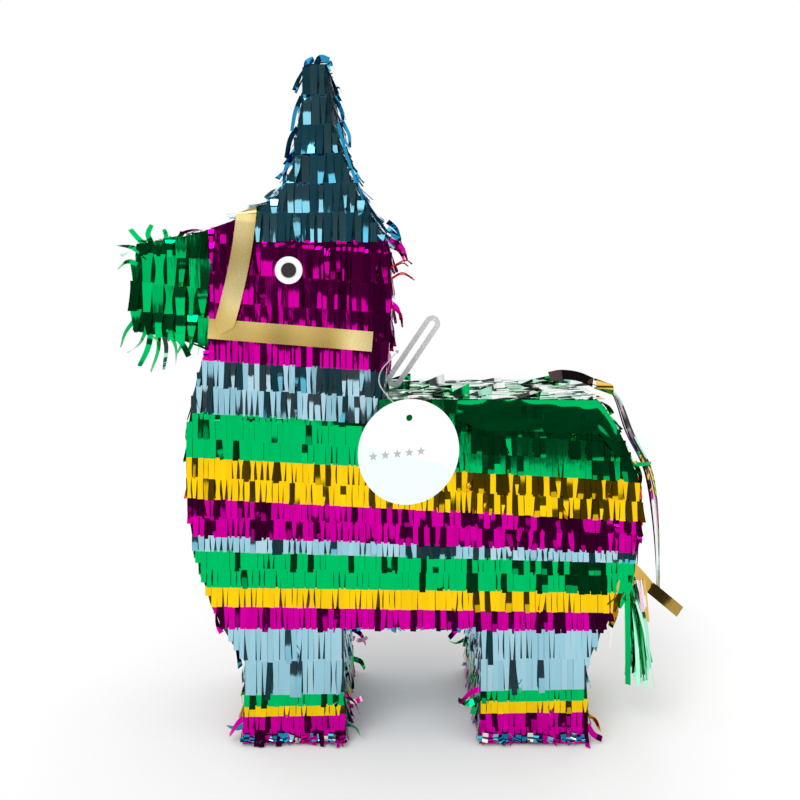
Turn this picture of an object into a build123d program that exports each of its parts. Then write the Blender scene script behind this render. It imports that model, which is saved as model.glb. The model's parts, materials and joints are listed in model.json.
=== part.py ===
from build123d import *
import os
from math import atan2, hypot, pi, radians, sqrt, tan

# A donkey pinata: two profile boards of corrugated cardboard held apart by edge strips, covered
# in rows of cut foil fringe. X runs along the donkey with the head towards -X, Z is up from the
# soles, and Y is the depth, with the near side towards -Y. All sizes are in millimetres.

# ---- Driving dimensions: carcass ----
DEPTH = 120.0               # outside to outside of the two side boards
BOARD = 3.0                 # corrugated board thickness
FRINGE = 1.5                # thickness of the packed foil fringe
CHEST_X = -175.0            # foremost point of the chest
TRUNK_LENGTH = 364.0        # chest to rump
LEG_HEIGHT = 94.0           # soles to belly
TRUNK_HEIGHT = 182.0        # belly to back
CHIN_ABOVE_BACK = 44.0
MUZZLE_HEIGHT = 81.0
FOREHEAD_RISE = 35.0        # top of the muzzle to the foot of the ear
EAR_HEIGHT = 109.0
EAR_TIP_WIDTH = 16.0
MUZZLE_REACH = 43.0         # snout ahead of the chest
THROAT_SETBACK = 17.0       # throat behind the chest
NECK_LENGTH = 139.0         # throat to nape, front to back
CHIN_RISE = 12.0            # how much the chin climbs towards the snout
HEAD_OVERHANG = 6.0         # how far the back of the head stands behind the nape
SNOUT_RAKE = 3.0            # how far the snout's top edge sits behind its bottom edge
RUMP_BULGE = 35.0           # how far the rump bows out past the back's rear edge
FRONT_LEG_SETBACK = 47.0
FRONT_LEG_WIDTH = 78.0
REAR_LEG_SETBACK = 44.0
REAR_LEG_WIDTH = 83.0
LEG_FLARE = 2.0             # how much wider a leg gets at each side of its foot
HAUNCH_DROP = 32.0          # height from the belly line down to where the rump meets the leg
BRISKET_DROP = 28.0         # the same at the chest
HAUNCH_INSET = 31.0         # how far ahead of the rump its curve ends
BRISKET_INSET = 28.0        # how far behind the chest its curve ends
CURVE_END = 1.0             # height between the belly line and where those curves end

# ---- Driving dimensions: points on the head's outline, each (along X, down or up) ----
EAR_BEHIND_THROAT = 52.0    # foot of the ear's front edge
EAR_TIP_BEHIND_THROAT = 87.0
BROW = (32.0, 11.0)         # behind the throat and below the crown
EAR_FRONT_BEND = (18.0, 36.0)   # behind the ear's foot and above the crown
EAR_REAR_BEND = (11.5, 42.0)    # behind and below the middle of the ear's tip
EAR_REAR_SWEEP = (29.5, 96.0)   # the same, halfway down the sweep to the back of the head
POLL_BELOW_CROWN = 36.0
NAPE_HOLLOW = (1.5, 91.0)   # behind the back of the head and below the crown

# ---- Driving dimensions: foil rows on the side boards, each (name, height at chest, at rump) ----
LEG_BLUE_FALL = 2.0         # how much lower the top of the legs' blue rows is at the rump
LEG_ROWS = [("leg_fringe_magenta", 23.0, 28.0), ("leg_fringe_yellow", 7.5, 9.5),
            ("leg_fringe_green", 9.5, 9.0)]
TRUNK_ROWS = [("trunk_fringe_magenta_lower", 18.4, 14.4), ("trunk_fringe_yellow_lower", 15.0, 16.0),
              ("trunk_fringe_green_lower", 29.0, 24.0), ("trunk_fringe_blue", 12.0, 8.0),
              ("trunk_fringe_magenta_upper", 30.4, 25.6), ("trunk_fringe_yellow_upper", 32.6, 32.0)]
NECK_GREEN = (36.0, 33.0)   # height of the green row under the neck's blue rows, at chest and rump
NECK_BLUE_BELOW_CHIN = (10.6, 32.0)     # top of the neck's blue rows, at chest and rump
NECK_BLUE_END = 3.0         # how far the neck's blue rows stop ahead of the nape
HEAD_TOP_BELOW_CROWN = 32.0  # where the ear's teal rows begin
EAR_ROWS_AHEAD = 38.0       # how far the teal rows reach ahead of the ear's front edge
SOLE_GAP = 1.0              # fringe stops this far above the floor

# ---- Driving dimensions: trim ----
EYE_BEHIND_THROAT = 65.0
EYE_ABOVE_CHIN = 60.0
EYE_RADIUS = 11.0
PUPIL_RADIUS = 6.0
DISC_THICKNESS = 0.8
RIBBON_WIDTH = 16.0
RIBBON_THICKNESS = 0.8
NOSEBAND_BEHIND_THROAT = 1.0
NOSEBAND_LENGTH = 130.0
NOSEBAND_ABOVE_CHIN = 13.5  # centre of the band at its front end
NOSEBAND_FALL = 10.5        # how much lower its rear end sits
NOSEBAND_SLANT = (2.0, 1.0)     # how far its lower corners sit behind its upper ones, front and rear
CROWN_RIBBON_TOP = 31.5     # behind the throat, where the ribbon crosses the forehead
CROWN_RIBBON_FOOT = (12.0, 17.5)    # behind the throat and above the chin
CROWN_RIBBON_BOW = 6.0
CROWN_RIBBON_POINT = (1.0, 10.5)    # the cut end's tip behind and below the ribbon's foot
LAYER_GAP = 0.2             # between the fringe and the trim laid over it
TOUCH = 0.01                # points nearer than this are one point

# ---- Driving dimensions: hanging loop, flap, tag and tail ----
LOOP_WIDTH = 14.0
LOOP_BAND = 4.5
LOOP_THICKNESS = 1.2
LOOP_REACH = 66.0           # pivot to the loop's tip
LOOP_LEAN = 34.0            # degrees from upright, towards the tail
LOOP_NAPE_GAP = 4.0         # between the nape and the loop's foot
STEM_WIDTH = 3.0
STEM_SLOT_CLEARANCE = 0.3
CROSS_BAR_LENGTH = 40.0
CROSS_BAR_RADIUS = 3.0
FLAP_LENGTH = 80.0
FLAP_WIDTH = 76.0
FLAP_FROM_REAR = 29.0       # flap's rear edge ahead of the back's rear edge
FLAP_GAP = 0.6
RUNNING_GAP = 0.4           # between pieces that move past each other
TAG_RADIUS = 41.0
TAG_THICKNESS = 0.8
TAG_YAW = 15.0              # degrees the tag is turned about its own vertical line
TAG_HOLE_RADIUS = 2.6
TAG_HOLE_FROM_TOP = 14.5
STRING_DIAMETER = 1.0
ARC_SHARE = 0.45            # share of the shorter run that each of the string's arcs takes
KNOT_RADIUS = 1.6
TAIL_Y = -15.0              # the tail hangs a little to the near side of the middle
TAIL_STRIP_WIDTH = 8.0
TAIL_STRIP_THICKNESS = 1.5
TAIL_ROOT = (8.0, 4.5)      # behind the back's rear edge and above its fringe
TAIL_BOW = (19.0, 69.0)     # behind the rump and below the back, halfway down the tail
TAIL_END = (26.0, 168.0)    # the same, where its strips run into the gold fold
TAIL_FOLD = [(-16.0, 14.0), (-3.0, 0.0), (7.0, -9.0)]  # the fold's middle line, from the tail's end
TAIL_FOLD_WIDTH = 9.0
TASSEL_DROP = 152.0         # the tassel's pivot below the back
TASSEL_Y = -45.0
TASSEL_LENGTH = 90.0
TASSEL_HEAD_RADIUS = 6.0    # its round head turns against the rump
TASSEL_FOOT = (20.0, 28.0)  # along X and Y
TASSEL_DRIFT = 3.0          # how far its foot hangs behind its head


def smooth_via(start, end, after):
    """The middle point of the arc from start to end that runs smoothly on towards a third point."""
    along = (end[0] - start[0], end[1] - start[1])
    onward = (after[0] - end[0], after[1] - end[1])
    turn = atan2(along[0] * onward[1] - along[1] * onward[0], along[0] * onward[0] + along[1] * onward[1])
    bow = tan(turn / 2) / 2
    return ((start[0] + end[0]) / 2 + along[1] * bow, (start[1] + end[1]) / 2 - along[0] * bow)


# ---- Levels and stations worked out from the driving dimensions ----
belly_z = LEG_HEIGHT
back_z = belly_z + TRUNK_HEIGHT
chin_z = back_z + CHIN_ABOVE_BACK
muzzle_top_z = chin_z + MUZZLE_HEIGHT
crown_z = muzzle_top_z + FOREHEAD_RISE
ear_tip_z = crown_z + EAR_HEIGHT
rump_x = CHEST_X + TRUNK_LENGTH
back_rear_x = rump_x - RUMP_BULGE
throat_x = CHEST_X + THROAT_SETBACK
nape_x = throat_x + NECK_LENGTH
snout_x = CHEST_X - MUZZLE_REACH
front_leg_front_x = CHEST_X + FRONT_LEG_SETBACK
front_leg_rear_x = front_leg_front_x + FRONT_LEG_WIDTH
rear_leg_rear_x = rump_x - REAR_LEG_SETBACK
rear_leg_front_x = rear_leg_rear_x - REAR_LEG_WIDTH
ear_front_x = throat_x + EAR_BEHIND_THROAT
ear_tip_x = throat_x + EAR_TIP_BEHIND_THROAT
head_rear_x = nape_x + HEAD_OVERHANG
half_depth = DEPTH / 2
between_boards = DEPTH - 2 * BOARD
fringe_face_y = half_depth + FRINGE

# Corners of the profile, in (x, z), named by where they are.
THROAT = (throat_x, chin_z)
CHIN = (snout_x, chin_z + CHIN_RISE)
MUZZLE_TOP = (snout_x + SNOUT_RAKE, muzzle_top_z)
BROW_TOP = (throat_x + BROW[0], crown_z - BROW[1])
EAR_FOOT = (ear_front_x, crown_z)
EAR_FRONT = (ear_front_x + EAR_FRONT_BEND[0], crown_z + EAR_FRONT_BEND[1])
EAR_TIP_FRONT = (ear_tip_x - EAR_TIP_WIDTH / 2, ear_tip_z)
EAR_CURVE = smooth_via(EAR_FOOT, EAR_FRONT, EAR_TIP_FRONT)
EAR_TIP_REAR = (ear_tip_x + EAR_TIP_WIDTH / 2, ear_tip_z)
EAR_REAR = (ear_tip_x + EAR_REAR_BEND[0], ear_tip_z - EAR_REAR_BEND[1])
EAR_REAR_CURVE = (ear_tip_x + EAR_REAR_SWEEP[0], ear_tip_z - EAR_REAR_SWEEP[1])
POLL = (head_rear_x, crown_z - POLL_BELOW_CROWN)
NAPE_CURVE = (head_rear_x + NAPE_HOLLOW[0], crown_z - NAPE_HOLLOW[1])
NAPE = (nape_x, back_z)
BACK_REAR = (back_rear_x, back_z)
RUMP = (rump_x, (back_z + belly_z) / 2)
HAUNCH = (rump_x - HAUNCH_INSET, belly_z - CURVE_END)
REAR_LEG_TOP = (rear_leg_rear_x, belly_z - HAUNCH_DROP)
REAR_HEEL = (rear_leg_rear_x + LEG_FLARE, 0.0)
REAR_TOE = (rear_leg_front_x - LEG_FLARE, 0.0)
BELLY_REAR = (rear_leg_front_x, belly_z)
BELLY_FRONT = (front_leg_rear_x, belly_z)
FRONT_HEEL = (front_leg_rear_x + LEG_FLARE, 0.0)
FRONT_TOE = (front_leg_front_x - LEG_FLARE, 0.0)
FRONT_LEG_TOP = (front_leg_front_x, belly_z - BRISKET_DROP)
BRISKET = (CHEST_X + BRISKET_INSET, belly_z + CURVE_END)
CHEST = (CHEST_X, (chin_z + belly_z) / 2)

# The outline as runs in clockwise order seen from the near side. A run of two points is straight
# and a run of three is an arc through the middle one.
STRIPS = {
    "chin_strip": [(THROAT, CHIN)],
    "snout_front_strip": [(CHIN, MUZZLE_TOP)],
    "forehead_strip": [(MUZZLE_TOP, BROW_TOP, EAR_FOOT)],
    "ear_front_strip": [(EAR_FOOT, EAR_CURVE, EAR_FRONT), (EAR_FRONT, EAR_TIP_FRONT),
                        (EAR_TIP_FRONT, EAR_TIP_REAR)],
    "ear_back_strip": [(EAR_TIP_REAR, EAR_REAR), (EAR_REAR, EAR_REAR_CURVE, POLL)],
    "nape_strip": [(POLL, NAPE_CURVE, NAPE)],
    "back_strip": [(NAPE, BACK_REAR)],
    "rump_strip": [(BACK_REAR, RUMP, HAUNCH)],
    "rear_leg_back_strip": [(HAUNCH, REAR_LEG_TOP), (REAR_LEG_TOP, REAR_HEEL)],
    "rear_sole_plate": [(REAR_HEEL, REAR_TOE)],
    "rear_leg_inner_strip": [(REAR_TOE, BELLY_REAR)],
    "belly_strip": [(BELLY_REAR, BELLY_FRONT)],
    "front_leg_inner_strip": [(BELLY_FRONT, FRONT_HEEL)],
    "front_sole_plate": [(FRONT_HEEL, FRONT_TOE)],
    "front_leg_front_strip": [(FRONT_TOE, FRONT_LEG_TOP), (FRONT_LEG_TOP, BRISKET)],
    "chest_strip": [(BRISKET, CHEST, THROAT)],
}

# Which strips each piece of edge fringe covers.
EDGE_FRINGE = {
    "ear_edge_fringe": ["ear_front_strip", "ear_back_strip"],
    "forehead_edge_fringe": ["forehead_strip"],
    "snout_edge_fringe": ["chin_strip", "snout_front_strip"],
    "nape_edge_fringe": ["nape_strip"],
    "back_edge_fringe": ["back_strip"],
    "rump_edge_fringe": ["rump_strip", "rear_leg_back_strip"],
    "belly_edge_fringe": ["rear_leg_inner_strip", "belly_strip", "front_leg_inner_strip"],
    "chest_edge_fringe": ["front_leg_front_strip", "chest_strip"],
}

# The tag's string, from its knot at the nape round the near board's edge to the tag's hole.
STRING_POINTS = [(-7.5, -66.2, 314.0), (-12.5, -69.5, 308.5), (-19.5, -71.0, 301.0),
                 (-21.5, -72.0, 291.0), (-14.5, -74.5, 281.5), (-5.5, -77.0, 272.5),
                 (3.0, -79.0, 267.6)]

nodes = {}


def keep(name, shapes):
    """Stores one node made of one or more solids."""
    if not isinstance(shapes, (list, tuple)):
        shapes = [shapes]
    nodes[name] = [solid for shape in shapes for solid in shape.solids()]


def spot(point, y=0.0):
    return Vector(point[0], y, point[1])


def edge_of(run):
    if len(run) == 2:
        return Edge.make_line(spot(run[0]), spot(run[1]))
    return Edge.make_three_point_arc(spot(run[0]), spot(run[1]), spot(run[2]))


def face_of(runs):
    return Face(Wire([edge_of(run) for run in runs]))


def polygon(points):
    return face_of([(points[i - 1], points[i]) for i in range(len(points))])


def arc_centre(run):
    (ax, az), (bx, bz), (cx, cz) = run
    d = 2 * (ax * (bz - cz) + bx * (cz - az) + cx * (az - bz))
    a2, b2, c2 = ax * ax + az * az, bx * bx + bz * bz, cx * cx + cz * cz
    x = (a2 * (bz - cz) + b2 * (cz - az) + c2 * (az - bz)) / d
    z = (a2 * (cx - bx) + b2 * (ax - cx) + c2 * (bx - ax)) / d
    return x, z


def shifted(run, outward):
    """The run moved outward by a distance, at right angles to itself."""
    if len(run) == 2:
        dx, dz = run[1][0] - run[0][0], run[1][1] - run[0][1]
        length = hypot(dx, dz)
        return tuple((x - dz / length * outward, z + dx / length * outward) for x, z in run)
    cx, cz = arc_centre(run)
    (ax, az), (bx, bz), (ex, ez) = run
    turn = (bx - ax) * (ez - bz) - (bz - az) * (ex - bx)
    sign = 1 if turn < 0 else -1
    moved = []
    for x, z in run:
        radius = hypot(x - cx, z - cz)
        moved.append((x + sign * (x - cx) / radius * outward, z + sign * (z - cz) / radius * outward))
    return tuple(moved)


def layer(run, inner, outer):
    """A flat face that follows the run, between two distances outward from it."""
    a, b = shifted(run, outer), shifted(run, inner)
    return face_of([a, (a[-1], b[-1]), tuple(reversed(b)), (b[0], a[0])])


def corner(before, after, inner, outer):
    """The wedge that two layers leave open where one run turns into the next."""
    wedge = []
    for outward in (inner, outer):
        a, b = shifted(before, outward)[-1], shifted(after, outward)[0]
        if hypot(a[0] - b[0], a[1] - b[1]) > TOUCH:
            wedge.append(polygon([before[-1], a, b]))
    return wedge


def layers(runs, inner, outer):
    """Flat faces that follow a chain of runs, with their corners closed."""
    faces = [layer(run, inner, outer) for run in runs]
    for before, after in zip(runs, runs[1:]):
        faces += corner(before, after, inner, outer)
    return faces


def across(face, depth):
    """The face made solid across the donkey, evenly to both sides of the middle."""
    return extrude(face, amount=depth / 2, dir=(0, 1, 0), both=True)


def slab(faces, y_from, y_to):
    """The faces made solid between two depths."""
    return [extrude(Pos(0, y_from, 0) * face, amount=abs(y_to - y_from),
                    dir=(0, 1 if y_to > y_from else -1, 0)) for face in faces]


def block(x0, x1, y0, y1, z0, z1):
    return Pos((x0 + x1) / 2, (y0 + y1) / 2, (z0 + z1) / 2) * Box(x1 - x0, y1 - y0, z1 - z0)


outline_runs = [run for runs in STRIPS.values() for run in runs]
outline = face_of(outline_runs)
inside = across(outline, between_boards)
flap_rear_x = back_rear_x - FLAP_FROM_REAR
flap_front_x = flap_rear_x - FLAP_LENGTH
loop_x = nape_x + LOOP_NAPE_GAP + LOOP_WIDTH / 2
loop_z = back_z + FRINGE + LOOP_WIDTH / 2 + RUNNING_GAP


def flap_cut(gap):
    """The block that the flap's outline takes out of the back, wider all round by a gap."""
    return block(flap_front_x - gap, flap_rear_x + gap, -FLAP_WIDTH / 2 - gap, FLAP_WIDTH / 2 + gap,
                 back_z - 2 * BOARD, back_z + 2 * BOARD)


def stem_slot():
    half = STEM_WIDTH / 2 + STEM_SLOT_CLEARANCE
    deep = LOOP_THICKNESS / 2 + STEM_SLOT_CLEARANCE
    return block(loop_x - half, loop_x + half, -deep, deep, back_z - 2 * BOARD, back_z + 2 * BOARD)


def build_boards():
    keep("near_side_board", slab([outline], -half_depth, -half_depth + BOARD))
    keep("far_side_board", slab([outline], half_depth, half_depth - BOARD))


def build_strips():
    """Edge strips stand between the boards, each cut to butt against the one before it."""
    made = None
    for name, runs in STRIPS.items():
        strip = None
        for face in layers(runs, -BOARD, 0):
            piece = across(face, between_boards) & inside
            strip = piece if strip is None else strip + piece
        if made is not None:
            strip = strip - made
        made = strip if made is None else made + strip
        if name == "back_strip":
            keep("filler_flap", strip & flap_cut(0))
            strip = strip - flap_cut(FLAP_GAP) - stem_slot()
        keep(name, strip)


def build_edge_fringe():
    """The edge fringe lies on the strips, over the full depth of the carcass."""
    carcass = across(outline, DEPTH)
    floor_cut = block(snout_x, rump_x, -DEPTH, DEPTH, -BOARD, SOLE_GAP)
    made = None
    for name, covered in EDGE_FRINGE.items():
        skin = None
        runs = [run for strip in covered for run in STRIPS[strip]]
        for face in layers(runs, 0, FRINGE):
            piece = across(face, DEPTH)
            skin = piece if skin is None else skin + piece
        skin = skin - carcass - floor_cut
        if made is not None:
            skin = skin - made
        made = skin if made is None else made + skin
        if name == "back_edge_fringe":
            keep("flap_fringe", skin & flap_cut(0))
            skin = skin - flap_cut(FLAP_GAP) - stem_slot()
        keep(name, skin)


def row_line(front_z, rear_z, x):
    return front_z + (rear_z - front_z) * (x - CHEST_X) / TRUNK_LENGTH


def under_line(front_z, rear_z, x_from, x_to):
    """A wide face under a row's sloping upper edge."""
    return polygon([(x_from, -BOARD), (x_from, row_line(front_z, rear_z, x_from)),
                    (x_to, row_line(front_z, rear_z, x_to)), (x_to, -BOARD)])


def both_sides(faces):
    near = slab(faces, -half_depth, -fringe_face_y)
    return near + slab(faces, half_depth, fringe_face_y)


def build_side_fringe():
    """Rows of fringe on both side boards, taken off the outline from the soles upward."""
    left, right = snout_x - BOARD, rump_x + BOARD
    rest = outline - under_line(SOLE_GAP, SOLE_GAP, left, right)
    front_z = rear_z = 0.0
    rows = []
    for name, front, rear in LEG_ROWS:
        front_z, rear_z = front_z + front, rear_z + rear
        rows.append((name, front_z, rear_z))
    front_z, rear_z = belly_z, belly_z - LEG_BLUE_FALL
    rows.append(("leg_fringe_blue", front_z, rear_z))
    for name, front, rear in TRUNK_ROWS:
        front_z, rear_z = front_z + front, rear_z + rear
        rows.append((name, front_z, rear_z))
    for name, top_front, top_rear in rows:
        cut = under_line(top_front, top_rear, left, right)
        keep(name, both_sides((rest & cut).faces()))
        rest = rest - cut
    green = (front_z + NECK_GREEN[0], rear_z + NECK_GREEN[1])
    blue = (chin_z - NECK_BLUE_BELOW_CHIN[0], chin_z - NECK_BLUE_BELOW_CHIN[1])
    neck_end_x = nape_x - NECK_BLUE_END
    behind_neck = polygon([(neck_end_x, belly_z), (neck_end_x, row_line(*green, neck_end_x)),
                           (nape_x, back_z + BOARD), (right, back_z + BOARD), (right, belly_z)])
    cut = under_line(*green, left, neck_end_x) + behind_neck
    keep("trunk_fringe_green_upper", both_sides((rest & cut).faces()))
    rest = rest - cut
    cut = under_line(*blue, left, right)
    keep("neck_fringe_blue", both_sides((rest & cut).faces()))
    rest = rest - cut
    cut = polygon([(left, chin_z), (left, ear_tip_z), (throat_x, ear_tip_z), (throat_x, chin_z)])
    keep("snout_fringe_green", both_sides((rest & cut).faces()))
    rest = rest - cut
    ear_z = crown_z - HEAD_TOP_BELOW_CROWN
    ear_left = EAR_FRONT[0] - EAR_ROWS_AHEAD
    cut = polygon([(ear_left, ear_z), (ear_left, ear_tip_z + BOARD),
                   (right, ear_tip_z + BOARD), (right, ear_z)])
    keep("ear_fringe_teal", both_sides((rest & cut).faces()))
    keep("head_fringe_magenta", both_sides((rest - cut).faces()))


def build_eyes():
    eye = (throat_x + EYE_BEHIND_THROAT, chin_z + EYE_ABOVE_CHIN)
    base = fringe_face_y + LAYER_GAP
    for side, sign in (("near", -1), ("far", 1)):
        for part, radius, level in (("white", EYE_RADIUS, 0), ("pupil", PUPIL_RADIUS, DISC_THICKNESS)):
            y = sign * (base + level + DISC_THICKNESS / 2)
            disc = Rot(90, 0, 0) * Cylinder(radius, DISC_THICKNESS)
            keep(f"{side}_eye_{part}", Pos(eye[0], y, eye[1]) * disc)


def build_ribbons():
    """Gold ribbons: a noseband on each side, and the crown ribbon over the head and both bands."""
    first_y = fringe_face_y + LAYER_GAP
    second_y = first_y + RIBBON_THICKNESS + LAYER_GAP
    half = RIBBON_WIDTH / 2
    front = (throat_x + NOSEBAND_BEHIND_THROAT, chin_z + NOSEBAND_ABOVE_CHIN)
    rear = (front[0] + NOSEBAND_LENGTH, front[1] - NOSEBAND_FALL)
    band = polygon([(front[0], front[1] + half), (rear[0], rear[1] + half),
                    (rear[0] + NOSEBAND_SLANT[1], rear[1] - half),
                    (front[0] + NOSEBAND_SLANT[0], front[1] - half)])
    top_x = throat_x + CROWN_RIBBON_TOP
    foot = (throat_x + CROWN_RIBBON_FOOT[0], chin_z + CROWN_RIBBON_FOOT[1])
    point = (foot[0] + CROWN_RIBBON_POINT[0], foot[1] - CROWN_RIBBON_POINT[1])
    bow = ((top_x + foot[0]) / 2 + CROWN_RIBBON_BOW, (crown_z + foot[1]) / 2)
    lift = FRINGE + LAYER_GAP
    crest = layer(STRIPS["forehead_strip"][0], lift, lift + RIBBON_THICKNESS)
    window = polygon([(top_x - half, chin_z), (top_x - half, ear_tip_z),
                      (top_x + half, ear_tip_z), (top_x + half, chin_z)])
    crest = (crest & window).faces()
    under_crest = across(outline + layer(STRIPS["forehead_strip"][0], 0, lift), 2 * DEPTH)
    keep("near_noseband", slab([band], -first_y, -first_y - RIBBON_THICKNESS))
    keep("far_noseband", slab([band], first_y, first_y + RIBBON_THICKNESS))
    drop = face_of([((top_x - half, crown_z), (bow[0] - half, bow[1]), (foot[0] - half, foot[1])),
                    ((foot[0] - half, foot[1]), point), (point, (foot[0] + half, foot[1])),
                    ((foot[0] + half, foot[1]), (bow[0] + half, bow[1]), (top_x + half, crown_z)),
                    ((top_x + half, crown_z), (top_x - half, crown_z))])
    outer_y = second_y + RIBBON_THICKNESS
    ribbon = None
    for solid in slab([drop], -second_y, -outer_y) + slab([drop], second_y, outer_y):
        solid = solid & under_crest
        ribbon = solid if ribbon is None else ribbon + solid
    for solid in slab(crest, -outer_y, outer_y):
        ribbon = ribbon + solid
    keep("crown_ribbon", ribbon)


def build_loop():
    """The hanging loop is a flat plastic link, on a stem held by a bar under the back."""
    half = LOOP_WIDTH / 2
    length = LOOP_REACH + half
    link = Plane.XZ * (Pos(0, length / 2 - half) * SlotOverall(length, LOOP_WIDTH, rotation=90))
    gap = LOOP_WIDTH - 2 * LOOP_BAND
    hole_length = length - 2 * LOOP_BAND
    hole = Plane.XZ * (Pos(0, length / 2 - half) * SlotOverall(hole_length, gap, rotation=90))
    link = extrude(link - hole, amount=LOOP_THICKNESS / 2, both=True)
    keep("hanging_loop", Pos(loop_x, 0, loop_z) * (Rot(0, LOOP_LEAN, 0) * link))
    bar_z = back_z - BOARD - CROSS_BAR_RADIUS
    stem = block(loop_x - STEM_WIDTH / 2, loop_x + STEM_WIDTH / 2, -LOOP_THICKNESS / 2,
                 LOOP_THICKNESS / 2, bar_z, back_z + FRINGE)
    bar = Pos(loop_x, 0, bar_z) * (Rot(90, 0, 0) * Cylinder(CROSS_BAR_RADIUS, CROSS_BAR_LENGTH))
    keep("loop_stem", stem - bar)
    keep("loop_cross_bar", bar)


def build_tag():
    """The round tag hung on the end of its string, and the string's knot at the nape."""
    points = [Vector(*point) for point in STRING_POINTS]
    hole_z = TAG_RADIUS - TAG_HOLE_FROM_TOP
    disc = Rot(90, 0, 0) * Cylinder(TAG_RADIUS, TAG_THICKNESS)
    disc = disc - Pos(0, 0, hole_z) * (Rot(90, 0, 0) * Cylinder(TAG_HOLE_RADIUS, 2 * TAG_THICKNESS))
    end = points[-1]
    tag = Pos(end.X, end.Y, end.Z - TAG_HOLE_RADIUS - hole_z) * (Rot(0, 0, TAG_YAW) * disc)
    keep("hang_tag", tag)
    radii = []
    for before, here, after in zip(points, points[1:], points[2:]):
        turn = (here - before).get_angle(after - here)
        shorter = min((here - before).length, (after - here).length)
        radii.append(ARC_SHARE * shorter / tan(radians(turn) / 2))
    print("string radii", [round(radius, 1) for radius in radii])
    path = FilletPolyline(*points, radius=radii)
    section = Plane(points[0], z_dir=points[1] - points[0]) * Circle(STRING_DIAMETER / 2)
    string = sweep(section, path=path)
    print("string length", round(path.length, 2), "volume", round(string.volume, 3),
          "section x length", round(pi * STRING_DIAMETER ** 2 / 4 * path.length, 3))
    keep("tag_string", string)
    towards = (points[1] - points[0]).normalized()
    centre = points[0] - towards * (KNOT_RADIUS + RUNNING_GAP)
    keep("string_knot", Pos(centre.X, centre.Y, centre.Z) * Sphere(KNOT_RADIUS))


def build_tail():
    """Foil strips bow out from the top of the rump and end in a folded gold strip."""
    root = (back_rear_x + TAIL_ROOT[0], back_z + FRINGE + TAIL_ROOT[1])
    bow = (rump_x + TAIL_BOW[0], back_z - TAIL_BOW[1])
    end = (rump_x + TAIL_END[0], back_z - TAIL_END[1])
    half = TAIL_STRIP_THICKNESS / 2
    strips = slab([layer((root, bow, end), -half, half)],
                  TAIL_Y - TAIL_STRIP_WIDTH / 2, TAIL_Y + TAIL_STRIP_WIDTH / 2)
    keep("tail_strips", strips)
    a, b, c = [(end[0] + x, end[1] + z) for x, z in TAIL_FOLD]
    fold = None
    for face in layers([(a, b), (b, c)], -TAIL_FOLD_WIDTH / 2, TAIL_FOLD_WIDTH / 2):
        arm = Pos(0, TAIL_Y, 0) * across(face, TAIL_STRIP_THICKNESS)
        fold = arm if fold is None else fold + arm
    keep("tail_fold", fold - strips[0])


def build_tassel():
    """The tassel hangs from a round head that lies against the rump's fringe."""
    rump = STRIPS["rump_strip"][0]
    centre_x, centre_z = arc_centre(rump)
    pivot_z = back_z - TASSEL_DROP
    reach = hypot(rump[0][0] - centre_x, rump[0][1] - centre_z)
    reach += FRINGE + RUNNING_GAP + TASSEL_HEAD_RADIUS
    pivot_x = centre_x + sqrt(reach ** 2 - (pivot_z - centre_z) ** 2)
    width = 2 * TASSEL_HEAD_RADIUS
    pivot = Pos(pivot_x, TASSEL_Y, pivot_z)
    head = pivot * (Rot(90, 0, 0) * Cylinder(TASSEL_HEAD_RADIUS, width))
    foot = Pos(TASSEL_DRIFT, 0, TASSEL_HEAD_RADIUS - TASSEL_LENGTH)
    skirt = loft([pivot * Rectangle(width, width), pivot * foot * Rectangle(*TASSEL_FOOT)])
    print("tassel pivot", round(pivot_x, 2), round(pivot_z, 2))
    keep("tail_tassel", head + skirt)


def write_nodes():
    os.makedirs("parts", exist_ok=True)
    for name, solids in nodes.items():
        shape = solids[0] if len(solids) == 1 else Compound(solids)
        export_step(shape, f"parts/{name}.step")


build_boards()
build_strips()
build_edge_fringe()
build_side_fringe()
build_eyes()
build_ribbons()
build_loop()
build_tag()
build_tail()
build_tassel()
write_nodes()
print(len(nodes), "nodes")
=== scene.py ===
import json
import math
import random
import bpy
import bmesh
from mathutils import Matrix, Vector, noise

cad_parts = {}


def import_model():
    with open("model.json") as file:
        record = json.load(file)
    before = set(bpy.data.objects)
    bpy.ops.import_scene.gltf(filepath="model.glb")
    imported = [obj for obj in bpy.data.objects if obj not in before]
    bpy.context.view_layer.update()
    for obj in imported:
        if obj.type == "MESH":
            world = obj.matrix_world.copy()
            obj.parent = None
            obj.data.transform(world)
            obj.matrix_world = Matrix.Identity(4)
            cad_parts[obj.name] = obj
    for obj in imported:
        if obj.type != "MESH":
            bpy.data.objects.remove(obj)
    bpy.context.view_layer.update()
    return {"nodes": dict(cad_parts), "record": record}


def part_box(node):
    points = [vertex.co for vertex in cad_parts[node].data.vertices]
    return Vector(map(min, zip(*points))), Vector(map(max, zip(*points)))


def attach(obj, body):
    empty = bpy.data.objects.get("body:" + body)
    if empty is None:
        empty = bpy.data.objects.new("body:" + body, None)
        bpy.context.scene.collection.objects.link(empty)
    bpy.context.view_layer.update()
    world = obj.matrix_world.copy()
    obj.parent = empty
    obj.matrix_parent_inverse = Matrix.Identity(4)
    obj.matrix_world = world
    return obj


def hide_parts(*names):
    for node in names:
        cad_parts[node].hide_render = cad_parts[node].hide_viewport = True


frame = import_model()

# A donkey pinata in metallic foil fringe. Everything is in metres, in the CAD model's frame:
# X from head to tail, Y from the near side to the far side, Z up from the soles.

MM = 0.001
BOARD_Y = -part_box("near_side_board")[0].y     # outer face of the side boards
FRINGE_Y = -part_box("trunk_fringe_blue")[0].y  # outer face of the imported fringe
FOIL_THICKNESS = 0.10 * MM

# ---- camera and the tag's string

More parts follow.
